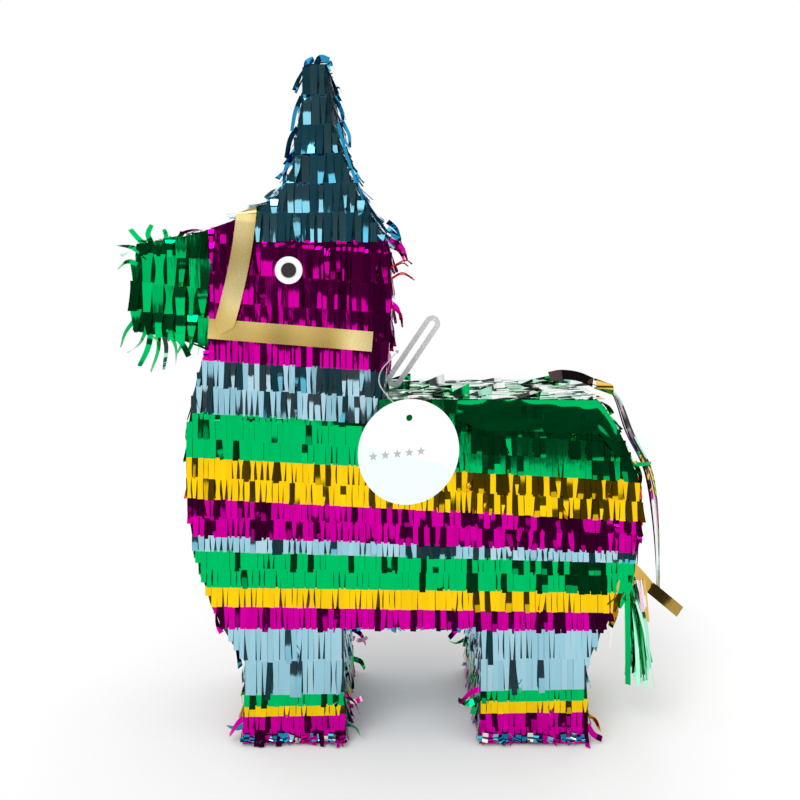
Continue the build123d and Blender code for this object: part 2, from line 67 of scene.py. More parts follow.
CAMERA_DISTANCE = 0.650      # from the near fringe face
CAMERA_X = -0.012
CAMERA_HEIGHT = 0.376
CAMERA_LENS = 36.56
CAMERA_SHIFT = (0.0125, -0.156)

STRING_POINTS = [(-7.5, -66.2, 314.0), (-12.5, -69.5, 308.5), (-19.5, -71.0, 301.0),
                 (-21.5, -72.0, 291.0), (-14.5, -74.5, 281.5), (-5.5, -77.0, 272.5),
                 (3.0, -79.0, 267.6)]
STRING_DIAMETER = 1.0 * MM
KNOT_RADIUS = 0.42 * MM      # of the string where it is pulled tight


def placed(name, data):
    """A new object in the scene."""
    obj = bpy.data.objects.new(name, data)
    bpy.context.scene.collection.objects.link(obj)
    return obj


def make_camera():
    data = bpy.data.cameras.new("camera")
    data.lens = CAMERA_LENS
    data.shift_x, data.shift_y = CAMERA_SHIFT
    data.dof.use_dof = False
    camera = placed("camera", data)
    camera.location = (CAMERA_X, -FRINGE_Y - CAMERA_DISTANCE, CAMERA_HEIGHT)
    camera.rotation_euler = (math.radians(90), 0, 0)
    bpy.context.scene.camera = camera


def round_cord(name, places, order, radius):
    """A round cord that smoothly follows its places, and the curve's line."""
    curve = bpy.data.curves.new(name, "CURVE")
    curve.dimensions = "3D"
    curve.bevel_depth = radius
    curve.bevel_resolution = 3
    spline = curve.splines.new("NURBS")
    spline.points.add(len(places) - 1)
    for point, place in zip(spline.points, places):
        point.co = (*place, 1)
    spline.order_u = order
    return placed(name, curve), spline


def make_string():
    places = [(x * MM, y * MM, z * MM) for x, y, z in STRING_POINTS]
    string, spline = round_cord("tag_string_line", places, 3, STRING_DIAMETER / 2)
    spline.use_endpoint_u = True
    spline.resolution_u = 8
    return string


make_camera()
tag_string = make_string()

# ---- materials

FOILS = {
    "green": (0.0, 0.50, 0.125),
    "yellow": (0.96, 0.60, 0.006),
    "magenta": (0.61, 0.0, 0.33),
    "light_blue": (0.32, 0.60, 0.72),
    "teal": (0.14, 0.60, 0.84),
    "blue": (0.015, 0.27, 0.50),
    "red": (0.55, 0.01, 0.03),
    "purple": (0.16, 0.03, 0.42),
    "mint": (0.42, 0.86, 0.66),
    "pink": (0.90, 0.55, 0.66),
    "gold": (0.72, 0.46, 0.10),
    "black": (0.07, 0.045, 0.05),
    "silver": (0.86, 0.86, 0.84),
}
# Painted shade and light: deep, saturated colours for strands turned up into the dark, pale ones for
# strands turned down to the bright floor.
PAINTED_SHADE_FOILS = {"light_blue": (0.06, 0.44, 0.60), "teal": (0.12, 0.62, 0.88)}
PAINTED_LIGHT_FOILS = {"teal": (0.32, 0.72, 0.86), "light_blue": (0.46, 0.66, 0.75)}
CRINKLE = {"magenta": 0.50, "teal": 0.40, "light_blue": 0.30, "green": 0.20}
materials = {}


def add_node(tree, kind, inputs=(), **settings):
    """A shader node with its settings, and its inputs linked or set."""
    node = tree.nodes.new(kind)
    for key, value in settings.items():
        setattr(node, key, value)
    for key, value in dict(inputs).items():
        if isinstance(value, bpy.types.NodeSocket):
            tree.links.new(value, node.inputs[key])
        else:
            node.inputs[key].default_value = value
    return node


def colour_stops(ramp, stops):
    """Sets a colour ramp's stops, each a place and a colour."""
    while len(ramp.elements) < len(stops):
        ramp.elements.new(0.5)
    for element, (place, colour) in zip(ramp.elements, stops):
        element.position = place
        element.color = (*colour, 1)


class Nodes:
    """A short way to write a material's node tree."""

    def __init__(self, name):
        self.material = bpy.data.materials.new(name)
        self.material.use_nodes = True
        self.tree = self.material.node_tree
        self.shader = self.tree.nodes["Principled BSDF"]
        materials[name] = self.material

    def add(self, kind, inputs=(), **settings):
        return add_node(self.tree, kind, inputs, **settings)

    def ramp(self, factor, stops):
        node = self.add("ShaderNodeValToRGB", {"Fac": factor})
        colour_stops(node.color_ramp, stops)
        return node.outputs["Color"]

    def two_tones(self, factor, low, high):
        self.join("Base Color", self.ramp(factor, [(0.3, low), (0.7, high)]))

    def span(self, value, low, high):
        node = self.add("ShaderNodeMapRange", {"Value": value, "To Min": low, "To Max": high})
        return node.outputs["Result"]

    def noise(self, scale, detail=3.0, stretch=(1, 1, 1), roughness=0.5):
        place = self.add("ShaderNodeTexCoord").outputs["Object"]
        place = self.add("ShaderNodeMapping", {"Vector": place, "Scale": stretch}).outputs["Vector"]
        wave = self.add("ShaderNodeTexNoise",
                        {"Vector": place, "Scale": scale, "Detail": detail, "Roughness": roughness})
        return wave.outputs["Fac"]

    def bump(self, height, strength, distance):
        node = self.add("ShaderNodeBump",
                        {"Height": height, "Strength": strength, "Distance": distance})
        self.join("Normal", node.outputs["Normal"])

    def join(self, socket, value):
        self.tree.links.new(value, self.shader.inputs[socket])

    def fixed(self, **values):
        for key, value in values.items():
            self.shader.inputs[key.replace("_", " ")].default_value = value


def scaled(colour, factor):
    return tuple(min(1.0, channel * factor) for channel in colour)


def foil(name, colour):
    """Metallised film: a mirror with a tint of its own in each strand, and painted shade and light:
    deeper colour on strands turned up, paler colour on strands turned down.
    """
    nodes = Nodes("foil_" + name)
    shade = nodes.add("ShaderNodeAttribute", attribute_name="shade").outputs["Fac"]
    # Shade 0 gives the deep colour and 1 the pale one: side strands turned up get 0 to 0.25, a painted
    # shade, and those turned down get 0.8 to 1, painted light; elsewhere the shade is a random or given
    # tint.
    stops = [(0.0, PAINTED_SHADE_FOILS.get(name, scaled(colour, 0.55))), (0.25, scaled(colour, 0.85)),
             (0.6, colour), (1.0, PAINTED_LIGHT_FOILS.get(name, scaled(colour, 1.15)))]
    nodes.join("Base Color", nodes.ramp(shade, stops))
    nodes.fixed(Metallic=1.0)
    nodes.join("Roughness", nodes.span(nodes.noise(60.0), 0.03, 0.11))
    nodes.bump(nodes.noise(240.0, 2.0, (1.0, 1.0, 0.22)), CRINKLE.get(name, 0.14), 0.0004)


def painted_shade_sheet(name, colour):
    """The glued heads of the foil strips, deep under the strands, in painted shade: the foil's colour
    darkened to 5 to 16 percent for the shadow under the strands.
    """
    nodes = Nodes("painted_shade_" + name)
    mottle = nodes.noise(90.0, 2.0)
    # painted shade: the foil's colour scaled down to between 5 and 16 percent, mottled at random
    nodes.two_tones(mottle, scaled(colour, 0.05), scaled(colour, 0.16))
    nodes.fixed(Metallic=1.0)
    nodes.join("Roughness", nodes.span(mottle, 0.35, 0.6))


def cardboard():
    nodes = Nodes("corrugated_cardboard")
    fibre = nodes.noise(900.0, 4.0, (1.0, 1.0, 0.12))
    nodes.two_tones(fibre, (0.30, 0.18, 0.085), (0.46, 0.29, 0.15))
    nodes.join("Roughness", nodes.span(fibre, 0.78, 0.95))
    flute = nodes.add("ShaderNodeTexWave", {
        "Vector": nodes.add("ShaderNodeTexCoord").outputs["Object"], "Scale": 70.0, "Distortion": 0.4})
    nodes.bump(flute.outputs["Fac"], 0.25, 0.0004)


def satin():
    """Gold satin ribbon with fine threads across it and a soft sheen, and a painted sheen: lighter and
    darker stretches painted into its colour at random.
    """
    nodes = Nodes("gold_satin")
    # painted sheen: big random patches of colour from dark brown to pale gold stand in for the ribbon's
    # highlights and shade
    sheen = nodes.noise(30.0, 0.0, (1.0, 0.2, 0.8))
    painted_sheen_golds = [(0.34, (0.30, 0.19, 0.04)), (0.5, (0.60, 0.41, 0.11)), (0.60, (0.74, 0.55, 0.19)),
             (0.72, (0.90, 0.73, 0.33))]
    nodes.join("Base Color", nodes.ramp(sheen, painted_sheen_golds))
    thread = nodes.noise(2600.0, 2.0, (1.0, 1.0, 0.08))
    nodes.join("Roughness", nodes.span(thread, 0.20, 0.34))
    nodes.fixed(Metallic=0.72, Sheen_Weight=0.25, Anisotropic=0.5)
    nodes.bump(thread, 0.06, 0.0001)


def card(name, low, high, rough):
    nodes = Nodes(name)
    tooth = nodes.noise(1500.0, 4.0)
    nodes.join("Base Color", nodes.ramp(tooth, [(0.35, low), (0.65, high)]))
    nodes.join("Roughness", nodes.span(tooth, rough, rough + 0.14))
    nodes.bump(tooth, 0.12, 0.0001)


def clear_plastic(name, rough, transmission):
    nodes = Nodes(name)
    haze = nodes.noise(160.0, 3.0)
    nodes.two_tones(haze, (0.80, 0.82, 0.85), (0.93, 0.94, 0.95))
    nodes.join("Roughness", nodes.span(haze, rough, rough + 0.15))
    nodes.fixed(Transmission_Weight=transmission, IOR=1.45)
    nodes.bump(haze, 0.1, 0.0002)


def wood():
    nodes = Nodes("wood_dowel")
    grain = nodes.noise(400.0, 4.0, (1.0, 0.06, 1.0))
    nodes.two_tones(grain, (0.42, 0.27, 0.12), (0.62, 0.44, 0.24))
    nodes.join("Roughness", nodes.span(grain, 0.55, 0.75))
    nodes.bump(grain, 0.2, 0.0002)


def floor_paint():
    nodes = Nodes("studio_floor")
    mottle = nodes.noise(3.0, 2.0)
    nodes.two_tones(mottle, (0.90, 0.90, 0.90), (0.93, 0.93, 0.93))
    nodes.fixed(Roughness=0.9)


for foil_name, foil_colour in FOILS.items():
    foil(foil_name, foil_colour)
    painted_shade_sheet(foil_name, foil_colour)
cardboard()
satin()
wood()
card("white_card", (0.83, 0.83, 0.86), (0.90, 0.90, 0.92), 0.45)
card("dark_card", (0.012, 0.008, 0.006), (0.030, 0.022, 0.018), 0.35)
card("tag_grey", (0.42, 0.42, 0.43), (0.52, 0.52, 0.53), 0.5)
clear_plastic("clear_plastic", 0.18, 0.35)
clear_plastic("clear_string", 0.05, 0.6)
floor_paint()

SLOT_OF_FOIL = {"green": "foil_green", "yellow": "foil_yellow", "magenta": "foil_magenta",
                "light_blue": "foil_light_blue", "teal": "foil_teal"}

# ---- building pieces


class Sink:
    """Collects the faces of one piece, each with a material and a shade."""

    def __init__(self):
        self.verts, self.faces, self.slots, self.shades = [], [], [], []
        self.names = []

    def index(self, material):
        if material not in self.names:
            self.names.append(material)
        return self.names.index(material)

    def add(self, verts, faces, material, shade=0.5):
        start = len(self.verts)
        self.verts += verts
        self.shades += [shade] * len(verts)
        slot = self.index(material)
        for face in faces:
            self.faces.append([start + i for i in face])
            self.slots.append(slot)

    def piece(self, name, body, slot, replaced=(), sharp=40.0):
        mesh = bpy.data.meshes.new(name)
        mesh.from_pydata([tuple(v) for v in self.verts], [], self.faces)
        mesh.polygons.foreach_set("material_index", self.slots)
        mesh.polygons.foreach_set("use_smooth", [True] * len(self.faces))
        mesh.attributes.new("shade", "FLOAT", "POINT").data.foreach_set("value", self.shades)
        mesh.set_sharp_from_angle(angle=math.radians(sharp))
        for material in self.names:
            mesh.materials.append(materials[material])
        mesh.validate()
        mesh.update()
        obj = placed(name, mesh)
        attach(obj, body)
        if replaced:
            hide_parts(*replaced)
        return obj


def band_faces(count):
    """The faces of a closed band that has four corners at each of its sections."""
    last = 4 * (count - 1)
    faces = []
    for a in range(0, last, 4):
        for i in range(4):
            j = (i + 1) % 4
            faces.append((a + i, a + j, a + 4 + j, a + 4 + i))
    return faces + [(3, 2, 1, 0), (last, last + 1, last + 2, last + 3)]


def plate(sink, inner, outer, material, sign):
    """A closed plate between two like outlines; the outer one lies towards the sign's side."""
    count = len(inner)
    faces = [list(range(count))[::sign], list(range(count, 2 * count))[::-sign]]
    for i in range(count):
        j = (i + 1) % count
        faces.append([i, j, j + count, i + count][::-sign])
    sink.add(inner + outer, faces, material)


def strip(sink, centres, sides, normals, width, material, shade=0.5, thickness=FOIL_THICKNESS,
          taper=0.0, pinch=0.0):
    """A thin closed band that follows its centres, with a side and a normal at each of them."""
    verts, last = [], len(centres) - 1
    for k, (centre, side, normal) in enumerate(zip(centres, sides, normals)):
        t = k / last
        half = width / 2 * (1 - taper * t) * (1 - pinch * math.sin(math.pi * t))
        for s, n in ((-1, 1), (1, 1), (1, -1), (-1, -1)):
            verts.append(centre + side * (half * s) + normal * (thickness / 2 * n))
    sink.add(verts, band_faces(len(centres)), material, shade)


STRAND_FOOT = 0.35 * MM     # the strands start this far off the board


def strand(sink, root, down, side, out, length, width, material, shade,
           rise=1.2 * MM, lean=0.0, twist=0.0, curl=0.0, belly=0.0, pinch=0.0, taper=0.0, steps=5):
    """One cut foil strand: it leaves its root, stands off, leans, twists and curls at its tip."""
    centres, sides, normals = [], [], []
    for k in range(steps + 1):
        t = k / steps
        roll = twist * t ** 1.4
        off = STRAND_FOOT + rise * t + curl * t ** 3 + belly * math.sin(math.pi * t)
        off += abs(math.sin(roll)) * width / 2
        centres.append(root + down * (length * t) + out * off + side * (lean * t ** 1.6))
        across = side * math.cos(roll) + out * math.sin(roll)
        sides.append(across)
        slope = rise + 3 * curl * t * t + math.pi * belly * math.cos(math.pi * t)
        slope /= max(length, MM)
        along = (down + out * slope).normalized()
        normals.append(across.cross(along).normalized() * -1)
    strip(sink, centres, sides, normals, width, material, shade, taper=taper, pinch=pinch)


def curved_band(sink, points, width, material, side=None, twist=0.0, shade=0.5, steps=14,
                thickness=FOIL_THICKNESS, taper=0.0):
    """A loose band along a smooth line through a few points, twisting evenly about it."""
    points = [Vector(point) for point in points]
    padded = [points[0] * 2 - points[1]] + points + [points[-1] * 2 - points[-2]]
    centres = []
    for k in range(steps + 1):
        place = k / steps * (len(points) - 1)
        i = min(int(place), len(points) - 2)
        t = place - i
        a, b, c, d = padded[i:i + 4]
        centres.append(0.5 * (2 * b + (c - a) * t + (2 * a - 5 * b + 4 * c - d) * t ** 2
                              + (3 * b - a - 3 * c + d) * t ** 3))
    sides, normals = [], []
    side = Vector(side) if side else Vector((1, 0, 0))
    for k in range(steps + 1):
        along = (centres[min(steps, k + 1)] - centres[max(0, k - 1)]).normalized()
        flat = (side - along * side.dot(along)).normalized()
        flat = Matrix.Rotation(twist * k / steps, 3, along) @ flat
        sides.append(flat)
        normals.append(flat.cross(along).normalized() * -1)
    strip(sink, centres, sides, normals, width, material, shade, thickness, taper)


# ---- the profile, read from the frame


def loops_at(node, y):
    """Closed loops, in (x, z), round the node's flat faces at one depth; clockwise seen from -Y."""
    mesh = bmesh.new()
    mesh.from_mesh(frame["nodes"][node].data)
    bmesh.ops.remove_doubles(mesh, verts=mesh.verts, dist=1e-6)
    flat = {f for f in mesh.faces if all(abs(v.co.y - y) < 2e-5 for v in f.verts)}
    links = {}
    for edge in mesh.edges:
        if sum(f in flat for f in edge.link_faces) == 1:
            a, b = edge.verts
            links.setdefault(a, []).append(b)
            links.setdefault(b, []).append(a)
    loops = []
    while links:
        here = next(iter(links))
        loop = [here]
        while links.get(here):
            onward = links[here].pop()
            links[onward].remove(here)
            if not links[here]:
                del links[here]
            here = onward
            loop.append(here)
        links.pop(here, None)
        points = [(v.co.x, v.co.z) for v in loop[:-1]]
        area = sum(a[0] * b[1] - b[0] * a[1] for a, b in zip(points, points[1:] + points[:1]))
        loops.append(points if area < 0 else points[::-1])
    mesh.free()
    return [loop for loop in loops if len(loop) > 2]


def column(loop, x):
    """The lowest and highest z of a loop at one x, or None outside it."""
    hits = []
    for (ax, az), (bx, bz) in zip(loop, loop[1:] + loop[:1]):
        if (ax - x) * (bx - x) < 0:
            hits.append(az + (bz - az) * (x - ax) / (bx - ax))
    return (min(hits), max(hits)) if len(hits) > 1 else None


def inside(loop, x, z):
    hit = False
    for (ax, az), (bx, bz) in zip(loop, loop[1:] + loop[:1]):
        if (az > z) != (bz > z) and x < ax + (bx - ax) * (z - az) / (bz - az):
            hit = not hit
    return hit


# Each row band on the sides: foil, rows, the shares of strands that face up at its front and at its
# rear and the part of its length where that changes, the share that faces down, how restless its
# strands are, how much their tints differ, and how far its rows follow the slope of its lower edge.
BANDS = {
    "ear_fringe_teal": ("teal", 6, (0.15, 0.15), (0.0, 1.0), 0.38, 1.4, 0.35, 1.0),
    "head_fringe_magenta": ("magenta", 5, (0.15, 0.42), (0.35, 1.0), 0.50, 1.3, 0.35, 1.0),
    "snout_fringe_green": ("green", 4, (0.10, 0.16), (0.0, 1.0), 0.48, 2.2, 0.35, 0.5),
    "neck_fringe_blue": ("light_blue", 2, (0.35, 0.45), (0.0, 1.0), 0.15, 1.2, 0.35, 1.0),
    "trunk_fringe_green_upper": ("green", 4, (0.05, 0.80), (0.54, 0.68), 0.05, 0.30, 0.08, 1.0),
    "trunk_fringe_yellow_upper": ("yellow", 2, (0.12, 0.50), (0.5, 0.9), 0.05, 0.9, 0.15, 1.0),
    "trunk_fringe_magenta_upper": ("magenta", 2, (0.42, 0.52), (0.3, 0.9), 0.0, 1.0, 0.30, 1.0),
    "trunk_fringe_blue": ("light_blue", 1, (0.25, 0.45), (0.3, 0.7), 0.0, 0.8, 0.30, 1.0),
    "trunk_fringe_green_lower": ("green", 2, (0.10, 0.45), (0.5, 0.8), 0.0, 0.30, 0.08, 1.0),
    "trunk_fringe_yellow_lower": ("yellow", 1, (0.10, 0.50), (0.5, 0.9), 0.0, 0.8, 0.15, 1.0),
    "trunk_fringe_magenta_lower": ("magenta", 1, (0.22, 0.60), (0.4, 0.9), 0.0, 0.9, 0.25, 1.0),
    "leg_fringe_blue": ("light_blue", 2, (0.10, 0.14), (0.0, 1.0), 0.0, 0.5, 0.20, 1.0),
    "leg_fringe_green": ("green", 1, (0.06, 0.08), (0.0, 1.0), 0.0, 0.5, 0.10, 1.0),
    "leg_fringe_yellow": ("yellow", 1, (0.08, 0.10), (0.0, 1.0), 0.0, 0.5, 0.15, 1.0),
    "leg_fringe_magenta": ("magenta", 2, (0.30, 0.30), (0.0, 1.0), 0.0, 1.0, 0.30, 1.0),
}
STRAND_WIDTH = 4.6 * MM
SHEET_LOW, SHEET_HIGH = 0.05 * MM, 0.30 * MM    # faces of the rows' glued heads, from the board
TRIM_LIMIT = 1.7 * MM       # how far strands under a ribbon may stand off
EYE_LIMIT = 1.1 * MM        # and those under an eye
BACK_STRAND = 8.5 * MM      # width of the strands on the back
BACK_PITCH = 17 * MM        # length of its rows
BACK_OVERLAP = 6 * MM       # how far they hang over the next
FLAP_GAP = 4 * MM           # how far the flap's strands end before its hinge
HEAD_MIDDLE = 0.36          # strands that face up slant more, the lower they hang below this height
OVERLAP = 1.3 * MM          # how far a row hangs over the next one
WIDER = {"snout_fringe_green": 2.0, "ear_fringe_teal": 1.35}    # bands with wider strands
NEAR_OUT = Vector((0, -1, 0))
band_loops = {node: loops_at(node, -FRINGE_Y) for node in BANDS}


def band_foil(x, z):
    """The foil of the side band at a place, or None outside them all."""
    for node, loops in band_loops.items():
        if any(inside(loop, x, z) for loop in loops):
            return BANDS[node][0]
    return None


def base_sheet(sink, loop, material, sign):
    """The uncut heads of the rows, a closed thin plate on the board."""
    inner, outer = ([Vector((x, sign * (BOARD_Y + off), z)) for x, z in loop]
                    for off in (SHEET_LOW, SHEET_HIGH))
    plate(sink, inner, outer, material, sign)


def pressed_places():
    """Boxes in (x, z) where trim lies over the fringe, and how far the strands may stand off there."""
    places = []
    for node, limit in (("near_noseband", TRIM_LIMIT), ("near_eye_white", EYE_LIMIT)):
        lo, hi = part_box(node)
        places.append((lo.x, lo.z, hi.x, hi.z, limit))
    lo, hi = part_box("crown_ribbon")
    steps = 6
    for k in range(steps):
        t = (k + 0.5) / steps
        x = lo.x + (hi.x - lo.x) * (0.22 + 0.56 * t)
        z = lo.z + (hi.z - lo.z) * t
        places.append((x - 9 * MM, z - 9 * MM, x + 9 * MM, z + 9 * MM, TRIM_LIMIT))
    return places


PRESSED = pressed_places()


def pressed(moves, x, z_low, z_high):
    """Holds a strand's moves down where trim lies over it."""
    for x0, z0, x1, z1, limit in PRESSED:
        if x0 < x < x1 and z_low < z1 and z_high > z0:
            room = limit - STRAND_FOOT
            moves["rise"] = min(moves["rise"], room)
            moves["belly"] = min(moves["belly"], room - moves["rise"] / 2)
            moves["twist"] = max(-0.12, min(0.12, moves["twist"]))
            moves["curl"] = min(0.0, moves["curl"])
            moves["lean"] = 0.0
    return moves


def restless(chance, up_share, down_share, unrest, tints, length, z):
    """How one strand stands off, leans, twists, curls and narrows, and its shade: a random tint, except
    painted shade (the deep end of its colour) on strands turned up and painted light (the pale end) on
    strands turned down.
    """
    lean = chance.gauss(0, 0.22) * unrest * MM
    twist = chance.gauss(0, 0.035) * unrest
    rise = 0.35 * MM + abs(chance.gauss(0, 0.15)) * unrest * MM
    curl = belly = 0.0
    shade = 0.6 + chance.uniform(-1, 1) * tints
    turned = chance.random()
    if turned < up_share:
        slant = math.radians(3 + 40 * max(0.0, HEAD_MIDDLE - z) + chance.uniform(0, 5))
        rise += length * math.tan(slant)
        twist += chance.uniform(-0.25, 0.25) * unrest
        lean += chance.gauss(0, 0.9) * unrest * MM
        # painted shade: a strand turned up takes the deep end of its foil's colour
        shade = chance.uniform(0.0, 0.25)
        if chance.random() < 0.35:
            curl = -0.45 * rise
    elif turned > 1 - down_share:
        belly = chance.uniform(0.8, 2.3) * MM
        # painted light: a strand turned down takes the pale end of its foil's colour
        shade = chance.uniform(0.8, 1.0)
        twist += chance.uniform(-0.15, 0.15) * unrest
    if chance.random() < 0.10 * unrest:
        twist = chance.choice((-1, 1)) * chance.uniform(0.5, 1.3)
        lean += chance.gauss(0, 1.2) * MM
    if chance.random() < 0.30 * unrest:
        curl += chance.uniform(-0.3, 1.0) * MM
    pinch = chance.uniform(0.1, 0.45) if chance.random() < 0.25 * unrest else 0.0
    taper = chance.uniform(0.15, 0.8) if chance.random() < 0.42 * unrest else 0.0
    return dict(rise=rise, lean=lean, twist=twist, curl=curl, belly=belly, shade=shade,
                pinch=pinch, taper=taper)


def smooth_step(value, low, high):
    t = min(1.0, max(0.0, (value - low) / (high - low)))
    return t * t * (3 - 2 * t)


def side_rows(node):
    name, rows, shares, turn, down_share, unrest, tints, follow = BANDS[node]
    chance = random.Random(node)
    sink = Sink()
    box_lo, box_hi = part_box(node)
    for sign in (-1, 1):
        out = NEAR_OUT * -sign
        for loop in band_loops[node]:
            base_sheet(sink, loop, "painted_shade_" + name, sign)
            lo_x, hi_x = min(x for x, z in loop), max(x for x, z in loop)
            xa, xb = lo_x + 0.3 * (hi_x - lo_x), lo_x + 0.7 * (hi_x - lo_x)
            slope = (column(loop, xb)[0] - column(loop, xa)[0]) / (xb - xa) * follow
            top = max(z - slope * x for x, z in loop)
            low = min(z - slope * x for x, z in loop)
            for row in range(rows):
                row_top = top - (top - low) * row / rows
                row_low = top - (top - low) * (row + 1) / rows
                x = lo_x + STRAND_WIDTH * 0.5
                phase = chance.uniform(0, 50)
                while x < hi_x:
                    wide = STRAND_WIDTH * WIDER.get(node, 1.0) * chance.uniform(0.9, 1.1)
                    span = column(loop, x)
                    if span:
                        z0 = min(row_top + slope * x, span[1]) - 0.2 * MM
                        hang = OVERLAP + chance.gauss(0, 0.18) * MM * unrest
                        z1 = max(row_low + slope * x, span[0]) - hang
                        z1 = max(z1, 1.0 * MM)
                        if z0 - z1 > 5 * MM:
                            drift = noise.noise(Vector((x * 30, phase, 0)))
                            along = smooth_step((x - box_lo.x) / (box_hi.x - box_lo.x), *turn)
                            share = shares[0] + (shares[1] - shares[0]) * along
                            share *= 1 + 1.4 * drift
                            if row == rows - 1:
                                share *= 0.75
                            moves = restless(chance, share, down_share, unrest, tints, z0 - z1, z0)
                            moves = pressed(moves, x, z1, z0)
                            strand(sink, Vector((x, sign * BOARD_Y, z0)), Vector((0, 0, -1)),
                                   Vector((1, 0, 0)), out, z0 - z1, wide * 0.99, "foil_" + name,
                                   **moves)
                    x += wide
    sink.piece(node + "_strands", "carcass", SLOT_OF_FOIL[name], [node])


# ---- fringe round the edge

RUNS = ["chin", "snout", "brow", "ear_tip", "ear_back", "nape", "back", "rump", "rear_leg_back",
        "rear_sole", "rear_leg_inner", "belly", "front_leg_inner", "front_sole", "front_leg_front",
        "chest"]
CORNER = math.radians(22)


def outline_runs():
    """The profile cut at its corners, clockwise from the throat."""
    loop = loops_at("near_side_board", -BOARD_Y)[0]
    count = len(loop)
    corners = []
    for i in range(count):
        a, b, c = (Vector(loop[(i + d) % count]) for d in (-1, 0, 1))
        if abs((b - a).angle_signed(c - b)) > CORNER:
            corners.append(i)
    chin_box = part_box("chin_strip")
    throat = Vector((chin_box[1].x, chin_box[0].z))
    first = min(corners, key=lambda i: (Vector(loop[i]) - throat).length)
    order = corners[corners.index(first):] + corners[:corners.index(first)]
    runs = {}
    for name, a, b in zip(RUNS, order, order[1:] + order[:1]):
        steps = (b - a) % count
        runs[name] = [Vector((loop[(a + k) % count][0], 0, loop[(a + k) % count][1]))
                      for k in range(steps + 1)]
    return runs


runs = outline_runs()


def walk(points, distance):
    """The place and direction at a distance along a chain of points."""
    for a, b in zip(points, points[1:]):
        length = (b - a).length
        if distance <= length:
            return a + (b - a) * (distance / length), (b - a).normalized()
        distance -= length
    return points[-1], (points[-1] - points[-2]).normalized()


def chain_length(points):
    return sum((b - a).length for a, b in zip(points, points[1:]))


def wrap_sheet(sink, points, material, sections=None):
    """A thin closed sheet that follows a chain of outline points across the full depth."""
    sections = sections or [(-BOARD_Y, BOARD_Y)]
    for y0, y1 in sections:
        verts = []
        for i, p in enumerate(points):
            a, b = points[max(0, i - 1)], points[min(len(points) - 1, i + 1)]
            d = (b - a).normalized()
            out = Vector((-d.z, 0, d.x))
            for y, lift in ((y0, SHEET_HIGH), (y1, SHEET_HIGH), (y1, SHEET_LOW), (y0, SHEET_LOW)):
                verts.append(Vector((p.x, y, p.z)) + out * lift)
        sink.add(verts, band_faces(len(points)), material)


# Foils mixed into the edge rows of one foil, and their share.
ODD_FOILS = (0.05, ["blue", "red", "purple", "gold", "teal"])
ODD_WITH = {"teal": (0.5, ["blue", "blue", "light_blue"])}


def edge_rows(sink, chance, run, reverse, pitch, width, colour, unrest=1.5):
    """Rows of strands across the depth, along one run of the outline, hanging down along it."""
    points = runs[run][::-1] if reverse else runs[run]
    total = chain_length(points)
    rows = max(1, round(total / pitch))
    way = (points[1] - points[0]).normalized()
    out = Vector((-way.z, 0, way.x)) * (-1 if reverse else 1)
    wrap_sheet(sink, runs[run], "painted_shade_" + colour(points[0], out))
    for row in range(rows):
        start = total * row / rows
        length = total / rows + OVERLAP
        y = -BOARD_Y + width / 2
        here = walk(points, start + 0.2 * MM)[0]
        bearing = walk(points, min(total, start + length * 0.6))[1]
        out = Vector((-bearing.z, 0, bearing.x)) * (-1 if reverse else 1)
        foil_here = colour(here, out)
        odd_share, odd_foils = ODD_WITH.get(foil_here, ODD_FOILS)
        while y < BOARD_Y:
            wide = width * chance.uniform(0.85, 1.15)
            if here.z + bearing.z * length * 1.06 < MM:
                length = (here.z - MM) / (1.06 * -bearing.z)
            moves = restless(chance, 0.3, 0.2, unrest, 0.35, length, HEAD_MIDDLE)
            if foil_here == "teal":
                moves["rise"] += chance.uniform(0.5, 4.5) * MM
            odd = chance.choice(odd_foils) if chance.random() < odd_share else foil_here
            strand(sink, Vector((here.x, y, here.z)), bearing, Vector((0, 1, 0)), out,
                   length * chance.uniform(0.94, 1.05), wide * 0.97, "foil_" + odd, **moves)
            y += wide


def by_band(step):
    """Takes the foil of the side band a step inside a place on the outline."""
    def pick(place, out):
        inner = place - out * step
        return band_foil(inner.x, inner.z - 2 * MM) or "green"
    return pick


def one(name):
    return lambda place, out: name


# Edge node: (slot, [(run, from its end, row pitch, strand width, colour)])
EDGES = {
    "ear_edge_fringe": ("foil_teal", [("ear_tip", False, 16, 5.0, one("teal")),
                                      ("ear_back", False, 21, 5.2, one("teal"))]),
    "forehead_edge_fringe": ("foil_magenta", [("brow", True, 19, 5.2, by_band(12 * MM))]),
    "snout_edge_fringe": ("foil_green", [("snout", True, 22, 5.8, one("green")),
                                         ("chin", True, 20, 5.8, one("green"))]),
    "nape_edge_fringe": ("foil_magenta", [("nape", False, 21, 5.0, by_band(12 * MM))]),
    "rump_edge_fringe": ("foil_green", [("rump", False, 16, 4.8, by_band(10 * MM)),
                                        ("rear_leg_back", False, 15, 4.6, by_band(10 * MM))]),
    "belly_edge_fringe": ("foil_light_blue", [("rear_leg_inner", True, 18, 4.8, by_band(8 * MM)),
                                              ("belly", False, 17, 4.8, one("blue")),
                                              ("front_leg_inner", False, 18, 4.8, by_band(8 * MM))]),
    "chest_edge_fringe": ("foil_light_blue", [("chest", True, 16, 4.8, by_band(10 * MM)),
                                              ("front_leg_front", True, 15, 4.6, by_band(10 * MM))]),
}


def edge_fringe():
    for node, (slot, parts) in EDGES.items():
        chance = random.Random(node)
        sink = Sink()
        for run, reverse, pitch, width, colour in parts:
            edge_rows(sink, chance, run, reverse, pitch * MM, width * MM, colour)
        sink.piece(node + "_strands", "carcass", slot, [node])


def back_foil(chance):
    tone = chance.random()
    return "silver" if tone < 0.30 else "mint" if tone < 0.78 else "green"


